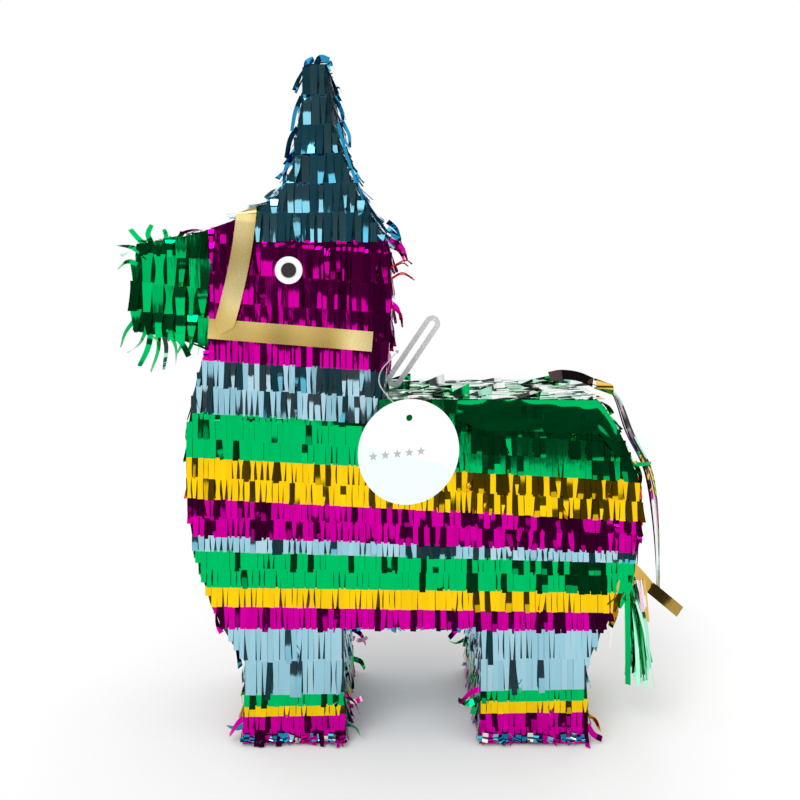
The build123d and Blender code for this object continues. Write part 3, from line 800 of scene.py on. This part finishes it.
def back_row(sink, chance, root, end, base, longest, pick, wanted):
    """One row of strands on the back, from a root as far as a y, where they are wanted."""
    while root.y < end:
        wide = BACK_STRAND * chance.uniform(0.8, 1.3)
        length = min(base * chance.uniform(0.9, 1.15), longest)
        moves = restless(chance, 0.06, 0.10, 0.8, 0.35, length, HEAD_MIDDLE)
        name = pick(chance)
        if wanted(root.x, root.y):
            strand(sink, root.copy(), Vector((1, 0, 0)), Vector((0, 1, 0)), Vector((0, 0, 1)), length,
                   wide * 0.95, "foil_" + name, **moves)
        root.y += wide


def back_fringe():
    """The back's rows, with the flap's own rows on the flap."""
    flap_lo, flap_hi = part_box("flap_fringe")

    def on_flap(x, y):
        return flap_lo.x - 3 * MM < x < flap_hi.x - 6 * MM and flap_lo.y < y < flap_hi.y

    for node, body, wanted in (("back_edge_fringe", "carcass", lambda x, y: not on_flap(x, y)),
                               ("flap_fringe", "filler_flap", on_flap)):
        chance = random.Random("back")
        sink = Sink()
        points = runs["back"]
        total = chain_length(points)
        rows = round(total / BACK_PITCH)
        z = points[0].z
        if body == "carcass":
            side = flap_hi.y + 0.6 * MM
            ahead = [points[0], Vector((flap_lo.x - 0.6 * MM, 0, z))]
            beside = [Vector((flap_lo.x - 0.6 * MM, 0, z)), Vector((flap_hi.x + 0.6 * MM, 0, z))]
            behind = [Vector((flap_hi.x + 0.6 * MM, 0, z)), points[-1]]
            for chain, sections in ((ahead, None), (beside, [(-BOARD_Y, -side), (side, BOARD_Y)]),
                                    (behind, None)):
                wrap_sheet(sink, chain, "painted_shade_green", sections)
        else:
            wrap_sheet(sink, [Vector((flap_lo.x, 0, z)), Vector((flap_hi.x, 0, z))], "painted_shade_green",
                       [(flap_lo.y, flap_hi.y)])
        for row in range(rows):
            x0 = points[0].x + total * row / rows
            longest = flap_hi.x - FLAP_GAP - x0 if body == "filler_flap" else math.inf
            back_row(sink, chance, Vector((x0, -BOARD_Y + 3 * MM, z)), BOARD_Y,
                     total / rows + BACK_OVERLAP, longest, back_foil, wanted)
        if body == "carcass":
            back_row(sink, chance, Vector((flap_hi.x + MM, flap_lo.y, z)), flap_hi.y, 19 * MM, math.inf,
                     lambda chance: chance.choice(["silver", "mint", "mint", "green"]),
                     lambda x, y: True)
        sink.piece(node + "_strands", body, "foil_green", [node])


for band in BANDS:
    side_rows(band)
edge_fringe()
back_fringe()

# ---- loose foil

# Strands that have worked loose: foil, depth, width, twist and the line they follow in (x, z), in mm.
LOOSE_STRANDS = [
    # top and bottom of the snout
    ("green", -58, 4.5, 0.6, [(-203, 396), (-213, 404), (-221, 413)]),
    ("green", -50, 4.5, -0.8, [(-204, 398), (-209, 409), (-206, 417)]),
    ("green", -60, 5.0, 1.2, [(-206, 390), (-218, 398), (-231, 400)]),
    ("mint", -44, 3.0, 2.0, [(-208, 394), (-222, 396), (-233, 392)]),
    ("green", -61, 4.5, 0.8, [(-212, 384), (-222, 387), (-230, 381)]),
    ("green", -40, 4.0, -1.0, [(-200, 400), (-197, 408), (-199, 414)]),
    ("green", -61, 4.5, 1.5, [(-206, 336), (-212, 322), (-222, 314)]),
    ("green", -60, 4.5, -1.2, [(-203, 336), (-206, 318), (-213, 303)]),
    ("green", -56, 4.5, 0.9, [(-199, 335), (-199, 316), (-205, 298)]),
    ("mint", -58, 3.5, -1.4, [(-196, 334), (-192, 318), (-194, 300)]),
    ("green", -52, 4.5, 1.1, [(-193, 333), (-186, 318), (-186, 303)]),
    ("green", -61, 4.5, -0.5, [(-190, 333), (-179, 322), (-173, 311)]),
    ("green", -57, 4.0, 0.8, [(-216, 342), (-225, 330), (-229, 318)]),
    # the ear's tip and edges
    ("teal", -50, 6.0, 0.4, [(-80, 543), (-79, 549), (-74, 552)]),
    ("blue", -57, 5.0, -0.5, [(-72, 544), (-68, 551), (-61, 549)]),
    ("teal", -44, 6.0, 0.7, [(-66, 544), (-61, 550), (-57, 545)]),
    ("blue", -58, 4.0, 0.5, [(-83, 520), (-88, 508), (-91, 492)]),
    ("blue", -52, 4.0, -0.7, [(-87, 496), (-93, 486), (-96, 471)]),
    ("blue", -56, 4.5, 0.8, [(-89, 474), (-96, 462), (-98, 446)]),
    ("light_blue", -57, 3.0, -1.0, [(-96, 448), (-104, 442), (-111, 434)]),
    ("teal", -59, 4.5, 0.6, [(-95, 452), (-101, 438), (-104, 424)]),
    ("blue", -59, 3.0, 0.3, [(-98, 440), (-106, 424), (-116, 412)]),
    ("blue", -59, 2.4, 0.2, [(-54, 498), (-46, 470), (-37, 446)]),
    ("blue", -58, 2.4, -0.2, [(-40, 452), (-28, 430), (-14, 410)]),
    ("blue", -54, 4.0, 0.8, [(-57, 520), (-51, 508), (-50, 496)]),
    # behind the head
    ("blue", -52, 4.5, 1.6, [(-12, 412), (-5, 406), (0, 397)]),
    ("magenta", -58, 4.5, -1.6, [(-12, 404), (-3, 399), (2, 388)]),
    ("teal", -46, 4.5, 1.0, [(-14, 420), (-7, 414), (-3, 405)]),
    ("red", -50, 1.2, 0.5, [(-12, 372), (-2, 377), (8, 372)]),
    ("red", -54, 1.2, -0.5, [(-12, 382), (0, 388), (6, 385)]),
    ("magenta", -58, 3.5, 0.9, [(-12, 352), (-4, 345), (-2, 334)]),
    # along the rump
    ("green", -58, 4.5, 0.3, [(186, 224), (192, 224), (198, 225)]),
    ("purple", -56, 4.0, 1.2, [(188, 196), (191, 184), (189, 170)]),
    ("red", -52, 4.0, -1.4, [(187, 214), (191, 202), (190, 188)]),
    ("gold", -56, 4.0, 1.5, [(185, 226), (190, 214), (189, 202)]),
    ("teal", -58, 6.0, 0.8, [(184, 158), (181, 146), (173, 136)]),
    ("teal", -54, 5.0, -0.8, [(186, 168), (184, 152), (178, 141)]),
    ("green", -50, 6.0, 0.5, [(185, 152), (184, 134), (178, 118)]),
    ("green", -57, 6.0, -0.6, [(182, 142), (180, 124), (172, 108)]),
    ("gold", -60, 4.5, 1.3, [(170, 132), (168, 120), (162, 112)]),
    ("red", -59, 4.0, -1.0, [(168, 122), (166, 112), (159, 104)]),
    ("gold", -55, 5.0, 0.7, [(170, 118), (170, 104), (166, 92)]),
    ("magenta", -60, 4.0, 1.0, [(164, 110), (160, 102), (156, 95)]),
    ("silver", -50, 1.4, 0.4, [(170, 108), (169, 92), (167, 70)]),
    # feet
    ("magenta", -58, 4.5, 1.0, [(-126, 22), (-134, 16), (-141, 6)]),
    ("blue", -55, 4.5, -1.2, [(-126, 14), (-136, 10), (-144, 12)]),
    ("magenta", -60, 4.5, 1.2, [(-50, 40), (-41, 34), (-36, 24)]),
    ("pink", -54, 4.0, -0.8, [(-50, 34), (-41, 31), (-34, 34)]),
    ("green", -56, 4.5, 0.8, [(-49, 14), (-40, 11), (-36, 4)]),
    ("magenta", -59, 4.5, -1.1, [(61, 44), (52, 40), (44, 32)]),
    ("green", -55, 4.5, 0.9, [(61, 34), (51, 30), (43, 33)]),
    ("yellow", -57, 4.5, 0.9, [(146, 22), (153, 18), (157, 9)]),
    ("magenta", -60, 4.5, -0.9, [(146, 16), (151, 8), (158, 4)]),
]
DROOPS = ["blue", "blue", "teal", "teal", "light_blue"]
FOOT_FOILS = ["blue", "blue", "teal", "light_blue", "silver", "magenta"]


def loose_foil():
    sink = Sink()
    chance = random.Random("loose")
    for name, depth, width, twist, line in LOOSE_STRANDS:
        for sign in (1, -1):
            jog = chance.uniform(-1.5, 1.5) if sign < 0 else 0.0
            points = [Vector((x + jog, sign * depth, z + jog)) * MM for x, z in line]
            curved_band(sink, points, width * MM, "foil_" + name, (line[-1][1] - line[0][1],
                        6 * sign, line[0][0] - line[-1][0]), twist * sign, chance.uniform(0.3, 0.9))
    sink.piece("loose_strands", "carcass", "foil_green")
    sink = Sink()
    lo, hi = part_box("belly_strip")
    for sign in (-1, 1):
        x = lo.x + 3 * MM
        while x < hi.x:
            drop = chance.uniform(2.5, 5.5) * MM
            z = lo.z + chance.uniform(0, 2) * MM
            y = sign * (BOARD_Y - chance.uniform(1, 8) * MM)
            sway = chance.gauss(0, 1.0) * MM
            line = [(x, y, z), (x + sway * 0.3, y, z - drop * 0.6), (x + sway, y, z - drop)]
            curved_band(sink, line,
                        4.5 * MM, "foil_" + chance.choice(DROOPS), (1, 0, 0), chance.gauss(0, 0.7),
                        chance.random(), 6)
            x += chance.uniform(3.0, 6.0) * MM
    sink.piece("belly_droops", "carcass", "foil_light_blue")
    sink = Sink()
    for run in ("front_sole", "rear_sole"):
        x, end = sorted((runs[run][0].x, runs[run][-1].x))
        while x < end:
            for sign in (-1, 1):
                z = chance.uniform(6, 10) * MM
                y = sign * (BOARD_Y + chance.uniform(1.2, 2.4) * MM)
                sway = chance.gauss(0, 1.5) * MM
                flare = sign * chance.uniform(1.0, 4.0) * MM
                curved_band(sink, [(x, y, z), (x + sway * 0.4, y + flare * 0.3, z * 0.6),
                                   (x + sway, y + flare, 4.2 * MM)],
                            4.5 * MM, "foil_" + chance.choice(FOOT_FOILS), (1, 0, 0),
                            chance.gauss(0, 0.35), chance.random(), 6)
            x += chance.uniform(3.0, 5.5) * MM
    sink.piece("foot_curls", "carcass", "foil_light_blue")


SADDLE_HEIGHT = 25 * MM


def saddle_sheet():
    """The uncut upper part of the last green strip, which stands off under the edge of the back."""
    board = loops_at("near_side_board", -BOARD_Y)[0]
    x0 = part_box("filler_flap")[0].x - 3 * MM
    x1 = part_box("back_strip")[1].x + 15 * MM
    columns, rows = 60, 12
    for sign, side in ((-1, "near"), (1, "far")):
        sink, verts = Sink(), []
        for layer_gap in (0.0, 0.25 * MM):
            for i in range(columns + 1):
                u = i / columns
                x = x0 + (x1 - x0) * u
                top = column(board, x)[1] + 0.3 * MM
                ripple = noise.noise(Vector((x * 34, 3.7 * sign, 0)))
                swell = noise.noise(Vector((x * 15, 9.1 * sign, 0)))
                tall = SADDLE_HEIGHT * (1 + 0.10 * swell) * smooth_step(u, -0.3, 0.25)
                for k in range(rows + 1):
                    v = k / rows
                    off = 1.0 + (1.5 + 3.4 * swell) * (1 - v) ** 8 + 4.2 * v ** 1.25
                    off += 1.5 * ripple * math.sin(math.pi * v)
                    off += 1.0 * noise.noise(Vector((x * 50 + 2.6 * v, 2.2 * v, 5.3 * sign)))
                    off = max(0.8, min(7.0, off)) * MM + layer_gap
                    verts.append(Vector((x, sign * (BOARD_Y + off), top - tall * v)))
        stride, half = rows + 1, (columns + 1) * (rows + 1)
        faces = []
        for i in range(columns):
            for k in range(rows):
                a = i * stride + k
                quad = [a, a + 1, a + 1 + stride, a + stride]
                faces += [quad[::sign], [half + n for n in quad[::-sign]]]
        rim = [i * stride for i in range(columns + 1)]
        rim += [columns * stride + k for k in range(1, stride)]
        rim += [i * stride + rows for i in range(columns - 1, -1, -1)]
        rim += [k for k in range(rows - 1, 0, -1)]
        for a, b in zip(rim, rim[1:] + rim[:1]):
            faces.append([a, b, b + half, a + half][::sign])
        sink.add(verts, faces, "foil_green", 0.5)
        sink.piece(side + "_saddle_sheet", "carcass", "foil_green")


loose_foil()
saddle_sheet()

# ---- satin ribbons

SATIN_STAND = 3.2 * MM       # ribbons over the strands, from the board
RIBBON_WIDTH = 16 * MM


def ribbon_piece(name, slot_node, centres, sides, normals, width):
    sink = Sink()
    strip(sink, centres, sides, normals, width, "gold_satin", thickness=0.5 * MM)
    sink.piece(name, "carcass", "gold_ribbon", [slot_node], sharp=60)


def nosebands():
    for side, sign in (("near", -1), ("far", 1)):
        lo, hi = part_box(side + "_noseband")
        width = RIBBON_WIDTH
        steps = 40
        front = Vector((lo.x, 0, hi.z - width / 2))
        rear = Vector((hi.x, 0, lo.z + width / 2))
        along = (rear - front).normalized()
        across = Vector((-along.z, 0, along.x))
        centres = []
        for k in range(steps + 1):
            t = k / steps
            wave = 0.7 * math.sin(2.2 * math.pi * t + 0.4) + 0.3 * math.sin(7 * math.pi * t)
            place = front.lerp(rear, t)
            place.y = sign * (BOARD_Y + SATIN_STAND - 0.3 * MM + wave * MM)
            centres.append(place)
        count = steps + 1
        ribbon_piece(side + "_noseband_satin", side + "_noseband", centres, [across] * count,
                     [Vector((0, sign, 0))] * count, width)


def crown_ribbon():
    """One ribbon up the near side, over the forehead and down the far side."""
    lo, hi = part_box("crown_ribbon")
    width = RIBBON_WIDTH
    foot = Vector((lo.x + width / 2, 0, lo.z + 2 * MM))
    top = Vector((hi.x - width / 2, 0, hi.z - 3.0 * MM))
    bow = (top + foot) / 2 + Vector((5.5 * MM, 0, 0))
    board = loops_at("near_side_board", -BOARD_Y)[0]
    ahead, behind = (column(board, top.x + side * width / 2)[1] for side in (-1, 1))
    brow = Vector((width, 0, behind - ahead)).normalized()
    crest_z = (ahead + behind) / 2 + SATIN_STAND
    turn = 4.0 * MM
    centres, sides, normals = [], [], []
    steps, bends, bridge = 26, 6, 10
    stand = BOARD_Y + SATIN_STAND + 1.7 * MM

    def rise(t):
        return foot * (1 - t) ** 2 + bow * 2 * t * (1 - t) + top * t ** 2

    for k in range(steps):
        t = k / steps * 0.97
        here = rise(t)
        along = (rise(t + 0.02) - here).normalized()
        here.y = -(stand + (1.2 * math.sin(5.2 * t + 0.5) - 0.5) * MM)
        side = Vector((along.z, 0, -along.x))
        narrow = min(1.0, 0.1 + 0.42 * k)
        centres.append(here - side * ((1 - narrow) * width * 0.1))
        sides.append(side * narrow)
        normals.append(Vector((0, -1, 0)))
    for k in range(bends + 1):
        angle = math.pi / 2 * k / bends
        centres.append(Vector((top.x, -(stand - turn + turn * math.cos(angle)),
                               crest_z - turn + turn * math.sin(angle))))
        sides.append(Vector((1, 0, 0)).lerp(brow, k / bends).normalized())
        normals.append(Vector((0, -math.cos(angle), math.sin(angle))))
    for k in range(1, bridge):
        y = -(stand - turn) + 2 * (stand - turn) * k / bridge
        centres.append(Vector((top.x, y, crest_z)))
        sides.append(brow)
        normals.append(Vector((-brow.z, 0, brow.x)))
    mirror = Vector((1, -1, 1))
    half = steps + bends + 1
    centres += [centre * mirror for centre in centres[:half][::-1]]
    sides += sides[:half][::-1]
    normals += [normal * mirror for normal in normals[:half][::-1]]
    ribbon_piece("crown_ribbon_satin", "crown_ribbon", centres, sides, normals, width)


nosebands()
crown_ribbon()

# ---- tail and tassel

pivots = {joint["name"]: Vector(joint["pos_m"]) for joint in frame["record"]["behaviour"]["joints"]}

# The tail's line as shares of the box of its strips: along X, and up from the bottom.
TAIL_LINE = [(0.0, 1.0), (0.33, 0.955), (0.57, 0.76), (0.85, 0.567), (0.96, 0.287), (0.98, 0.0)]
# Its strips: foil, width, offset in Y, offset in X at the middle, and twist.
TAIL_STRIPS = [("pink", 3.2, 0.0, 0.0, 1.9), ("silver", 2.2, -2.5, -2.4, -2.2),
               ("gold", 2.0, 2.5, 1.2, 2.8), ("red", 2.6, 1.2, -1.0, -1.5),
               ("mint", 1.6, -3.5, 1.5, 3.0), ("purple", 2.0, 3.5, -3.0, 1.4)]


def tail():
    lo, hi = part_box("tail_strips")
    middle = (lo.y + hi.y) / 2
    sink = Sink()
    for name, width, aside, swell, twist in TAIL_STRIPS:
        points = []
        for k, (u, w) in enumerate(TAIL_LINE):
            loose = math.sin(math.pi * k / (len(TAIL_LINE) - 1))
            points.append((lo.x + (hi.x - lo.x) * u + swell * MM * loose, middle + aside * MM * loose,
                           lo.z + (hi.z - lo.z) * w))
        curved_band(sink, points, width * MM, "foil_" + name, (0.4, 1, 0), twist, 0.6, 40)
    root = pivots["tail_lift"]
    centre = root + Vector((9, 0, -2)) * MM
    roll = []
    for k in range(9):
        angle = math.radians(40 + 38 * k)
        size = (5.2 - 0.22 * k) * MM
        roll.append(centre + Vector((0, math.cos(angle), math.sin(angle))) * size)
    curved_band(sink, roll, 15 * MM, "foil_gold", (0.93, 0, -0.36), 0.0, 0.8, 32, 0.2 * MM)
    sink.piece("tail_strands", "tail", "foil_green", ["tail_strips"], 60)

    fold_lo, fold_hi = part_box("tail_fold")
    bend = Vector((fold_lo.x + 15 * MM, middle - 1.5 * MM, (fold_lo.z + fold_hi.z) / 2 - 1.5 * MM))
    sink = Sink()
    # painted shade: each arm of the fold takes a darker gold, 0.35 for the upper-left arm and 0.0, the
    # deepest, for the lower-right arm
    halves = ((Vector((-15, 2, 17)), 0.55, 0.35), (Vector((25, -1, -20.5)), -0.2, 0.0))
    for far, tilt, shade in halves:
        end = bend + far * MM
        along = (end - bend).normalized()
        flat = Vector((0, -1, 0)).cross(along).normalized()
        flat = Matrix.Rotation(tilt, 3, along) @ flat
        back = along.cross(flat)
        steps = 6
        centres = [bend.lerp(end, k / steps) + back * (0.5 * MM * math.sin(math.pi * k / steps))
                   for k in range(steps + 1)]
        strip(sink, centres, [flat] * (steps + 1), [back] * (steps + 1), 10 * MM, "foil_gold", shade,
              0.3 * MM)
    sink.piece("tail_gold_fold", "tail", "gold_ribbon", ["tail_fold"], 30)

    sink = Sink()
    loose_end = ((-45, -40, 12), (-34, -34, 13), (-16, -15, 9), (0, 0, 2))
    points = [root + Vector(step) * MM for step in loose_end]
    curved_band(sink, points, 8 * MM, "foil_black", (0, 0.5, 1), 0.3, 0.6, 20)
    sink.piece("tail_ribbon_end", "carcass", "foil_magenta")


TASSEL_FOILS = ["green", "green", "mint", "mint", "mint", "silver"]


def tassel():
    """A fan of long green and pale strands from one knot at the rump."""
    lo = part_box("tail_tassel")[0]
    head = pivots["tassel_swing"]
    chance = random.Random("tassel")
    sink = Sink()
    count = 30
    for k in range(count):
        spread = (k + 0.5) / count * 2 - 1
        reach = (head.z - lo.z) * chance.uniform(0.72, 1.0)
        foot = Vector((head.x + 6.5 * MM + chance.gauss(0, 4.5) * MM, head.y + spread * 13 * MM,
                       head.z - reach))
        start = head + Vector((chance.uniform(-3, 3), spread * 5, chance.uniform(0, 4))) * MM
        middle = start.lerp(foot, 0.45) + Vector((chance.uniform(0, 4), spread * 2, 0)) * MM
        curved_band(sink, [start, middle, foot], chance.uniform(3.0, 6.0) * MM,
                    "foil_" + chance.choice(TASSEL_FOILS), (1, chance.gauss(0, 0.7), 0),
                    chance.gauss(0, 0.7), chance.uniform(0.2, 1.0), 12)
    for name, x, drop in (("pink", 4, 26), ("gold", 8, 34), ("silver", 6, 22)):
        start = head + Vector((x, -10, 6)) * MM
        curved_band(sink, [start, start + Vector((1.5, 0, -drop / 2)) * MM,
                           start + Vector((3, 0, -drop)) * MM], 2.5 * MM, "foil_" + name, (1, 0.4, 0),
                    0.8, 0.6, 10)
    points = [head + Vector((4.5 * math.cos(a), 5.5 * math.sin(a), 1.5)) * MM
              for a in (math.radians(30 * k) for k in range(13))]
    curved_band(sink, points, 4 * MM, "foil_gold", (0, 0, 1), 0.0, 0.4, 36, 0.3 * MM)
    sink.piece("tassel_strands", "tassel", "foil_green", ["tail_tassel"], 60)


tail()
tassel()

# ---- tag, its knot, and CAD nodes that stay

TAG_YAW = math.radians(15)
STAR_PITCH = 9.6
STAR_RADII = (3.7, 1.6)      # at its points and between them
STAR_FACES = (0.38, 0.45)    # from the middle of the card


def tag_print():
    """White card with a pale mint wave across its lower part."""
    lo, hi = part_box("hang_tag")
    nodes = Nodes("tag_print")
    place = nodes.add("ShaderNodeTexCoord").outputs["Object"]
    flat = nodes.add("ShaderNodeMapping", {"Vector": place, "Location": (lo + hi) / 2,
                                           "Rotation": (0, 0, TAG_YAW)}, vector_type="TEXTURE")
    axes = nodes.add("ShaderNodeSeparateXYZ", {"Vector": flat.outputs["Vector"]})
    slant = nodes.add("ShaderNodeMath", {0: axes.outputs["X"], 1: 0.37, 2: axes.outputs["Z"]},
                      operation="MULTIPLY_ADD").outputs[0]
    phase = nodes.add("ShaderNodeMath", {0: axes.outputs["X"], 1: 75.0}, operation="MULTIPLY")
    swing = nodes.add("ShaderNodeMath", {0: phase.outputs[0]}, operation="SINE").outputs[0]
    level = nodes.add("ShaderNodeMath", {0: swing, 1: -0.0028, 2: slant}, operation="MULTIPLY_ADD")
    ink = nodes.add("ShaderNodeMapRange", {"Value": level.outputs[0], "From Min": -0.0042,
                                           "From Max": -0.0038})
    tooth = nodes.noise(1500.0, 4.0)
    mint = nodes.ramp(tooth, [(0.3, (0.78, 0.89, 0.88)), (0.7, (0.83, 0.92, 0.91))])
    white = nodes.ramp(tooth, [(0.3, (0.90, 0.91, 0.92)), (0.7, (0.94, 0.95, 0.96))])
    mix = nodes.add("ShaderNodeMix", {"Factor": ink.outputs["Result"]}, data_type="RGBA")
    nodes.tree.links.new(mint, mix.inputs[6])
    nodes.tree.links.new(white, mix.inputs[7])
    nodes.join("Base Color", mix.outputs[2])
    nodes.join("Roughness", nodes.span(tooth, 0.32, 0.45))
    nodes.bump(tooth, 0.1, 0.0001)


def tag_stars():
    """A row of small grey stars printed on both faces of the tag."""
    lo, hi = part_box("hang_tag")
    centre = (lo + hi) / 2
    along = Vector((math.cos(TAG_YAW), math.sin(TAG_YAW), 0))
    face = Vector((math.sin(TAG_YAW), -math.cos(TAG_YAW), 0))
    sink = Sink()
    for sign in (1, -1):
        for k in range(5):
            middle = centre + along * ((k * STAR_PITCH - 29.0) * MM * sign)
            middle += Vector((0, 0, -2 + 0.5 * k)) * MM
            rim = []
            for n in range(10):
                angle = math.radians(36 * n + 90)
                size = STAR_RADII[n % 2] * MM
                rim.append(along * (math.cos(angle) * size) + Vector((0, 0, math.sin(angle) * size)))
            inner, outer = ([middle + face * sign * off * MM + point for point in rim]
                            for off in STAR_FACES)
            plate(sink, inner, outer, "tag_grey", sign)
    sink.piece("tag_stars", "hang_tag", "tag_card", sharp=20)


def string_knot():
    """A small trefoil of the tag's string where it is tied at the nape."""
    lo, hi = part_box("string_knot")
    turns = 24
    places = []
    for k in range(turns):
        a = 2 * math.pi * k / turns
        x = math.sin(a) + 2 * math.sin(2 * a)
        z = math.cos(a) - 2 * math.cos(2 * a)
        places.append((lo + hi) / 2 + Vector((x, -math.sin(3 * a), z)) * KNOT_RADIUS)
    knot, spline = round_cord("string_knot_turns", places, 4, KNOT_RADIUS)
    spline.use_cyclic_u = True
    knot.data.materials.append(materials["clear_string"])
    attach(knot, "string_knot")
    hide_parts("string_knot")
    return knot


tag_print()
tag_stars()
knot = string_knot()

CARDBOARD_NODES = [n for n in frame["nodes"] if n.endswith(("_board", "_strip", "_plate"))]
STAYING = {node: "corrugated_cardboard" for node in CARDBOARD_NODES + ["filler_flap"]}
STAYING.update({
    "near_eye_white": "white_card", "far_eye_white": "white_card",
    "near_eye_pupil": "dark_card", "far_eye_pupil": "dark_card",
    "hanging_loop": "clear_plastic", "loop_stem": "clear_plastic", "loop_cross_bar": "wood_dowel",
    "hang_tag": "tag_print",
})
for node, material in STAYING.items():
    mesh = frame["nodes"][node].data
    mesh.materials.clear()
    mesh.materials.append(materials[material])

tag_string.data.materials.append(materials["clear_string"])
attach(tag_string, "hang_tag")
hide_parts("tag_string")

# ---- floor, light and world


def floor():
    mesh = bpy.data.meshes.new("studio_floor")
    r = FLOOR_REACH
    mesh.from_pydata([(-r, -r, 0), (r, -r, 0), (r, r, 0), (-r, r, 0)], [], [(0, 1, 2, 3)])
    mesh.materials.append(materials["studio_floor"])
    obj = placed("studio_floor", mesh)


def sun(location, aim, energy, angle):
    data = bpy.data.lights.new("key", "SUN")
    data.energy = energy
    data.angle = angle
    obj = placed("key", data)
    obj.location = location
    obj.rotation_euler = (Vector(aim) - Vector(location)).to_track_quat("-Z", "Y").to_euler()


# Brightness of the studio in a mirror, by the sine of the direction's height mapped from 0 to 1.
STUDIO_BANDS = [(0.0, 0.95), (0.43, 1.05), (0.452, 0.95), (0.475, 0.09), (0.84, 0.06), (0.88, 0.8),
                (1.0, 1.2)]
STUDIO_TILT = 0.65          # how much darker it is towards the tail's side
BACKDROP_RISE = -0.45       # how much higher the white reaches behind the object
FLOOR_REACH = 1.3


def world():
    """Even white light; in reflections a white sweep below and behind, and a dark room above it."""
    scene_world = bpy.data.worlds.new("studio")
    bpy.context.scene.world = scene_world
    scene_world.use_nodes = True
    tree = scene_world.node_tree
    tree.nodes.clear()

    def add(kind, inputs=(), **settings):
        return add_node(tree, kind, inputs, **settings)

    def sum_of(a, factor, b):
        return add("ShaderNodeMath", {0: a, 1: factor, 2: b}, operation="MULTIPLY_ADD").outputs[0]

    direction = add("ShaderNodeTexCoord").outputs["Generated"]
    axes = add("ShaderNodeSeparateXYZ", {"Vector": direction})
    behind = add("ShaderNodeMath", {0: axes.outputs["Y"], 1: 0.0}, operation="MAXIMUM").outputs[0]
    upright = add("ShaderNodeMapping", {"Vector": direction, "Scale": (1.0, 1.0, 0.35)})
    wander = add("ShaderNodeTexNoise", {"Vector": upright.outputs["Vector"], "Scale": 4.0,
                                        "Detail": 2.0}).outputs["Fac"]
    wander = add("ShaderNodeMapRange", {"Value": wander, "From Min": 0.25, "From Max": 0.75,
                                        "To Min": -0.10, "To Max": 0.10}).outputs["Result"]
    level = sum_of(axes.outputs["X"], STUDIO_TILT, axes.outputs["Z"])
    level = sum_of(behind, BACKDROP_RISE, level)
    level = sum_of(wander, 1.0, level)
    ramp = add("ShaderNodeMapRange", {"Value": level, "From Min": -1.0, "From Max": 1.0})
    colours = add("ShaderNodeValToRGB", {"Fac": ramp.outputs["Result"]})
    colour_stops(colours.color_ramp, [(place, (value,) * 3) for place, value in STUDIO_BANDS])
    white = add("ShaderNodeBackground", {"Color": (1, 1, 1, 1), "Strength": 1.0})
    mirrored = add("ShaderNodeBackground", {"Color": colours.outputs["Color"], "Strength": 1.0})
    ray = add("ShaderNodeLightPath").outputs["Is Glossy Ray"]
    mix = add("ShaderNodeMixShader", {0: ray, 1: white.outputs[0], 2: mirrored.outputs[0]})
    output = add("ShaderNodeOutputWorld")
    tree.links.new(mix.outputs[0], output.inputs["Surface"])


floor()
world()
sun((-1.2, -2.0, 2.6), (0, 0, 0.2), 0.9, math.radians(30))
bpy.context.scene.view_settings.view_transform = "Standard"
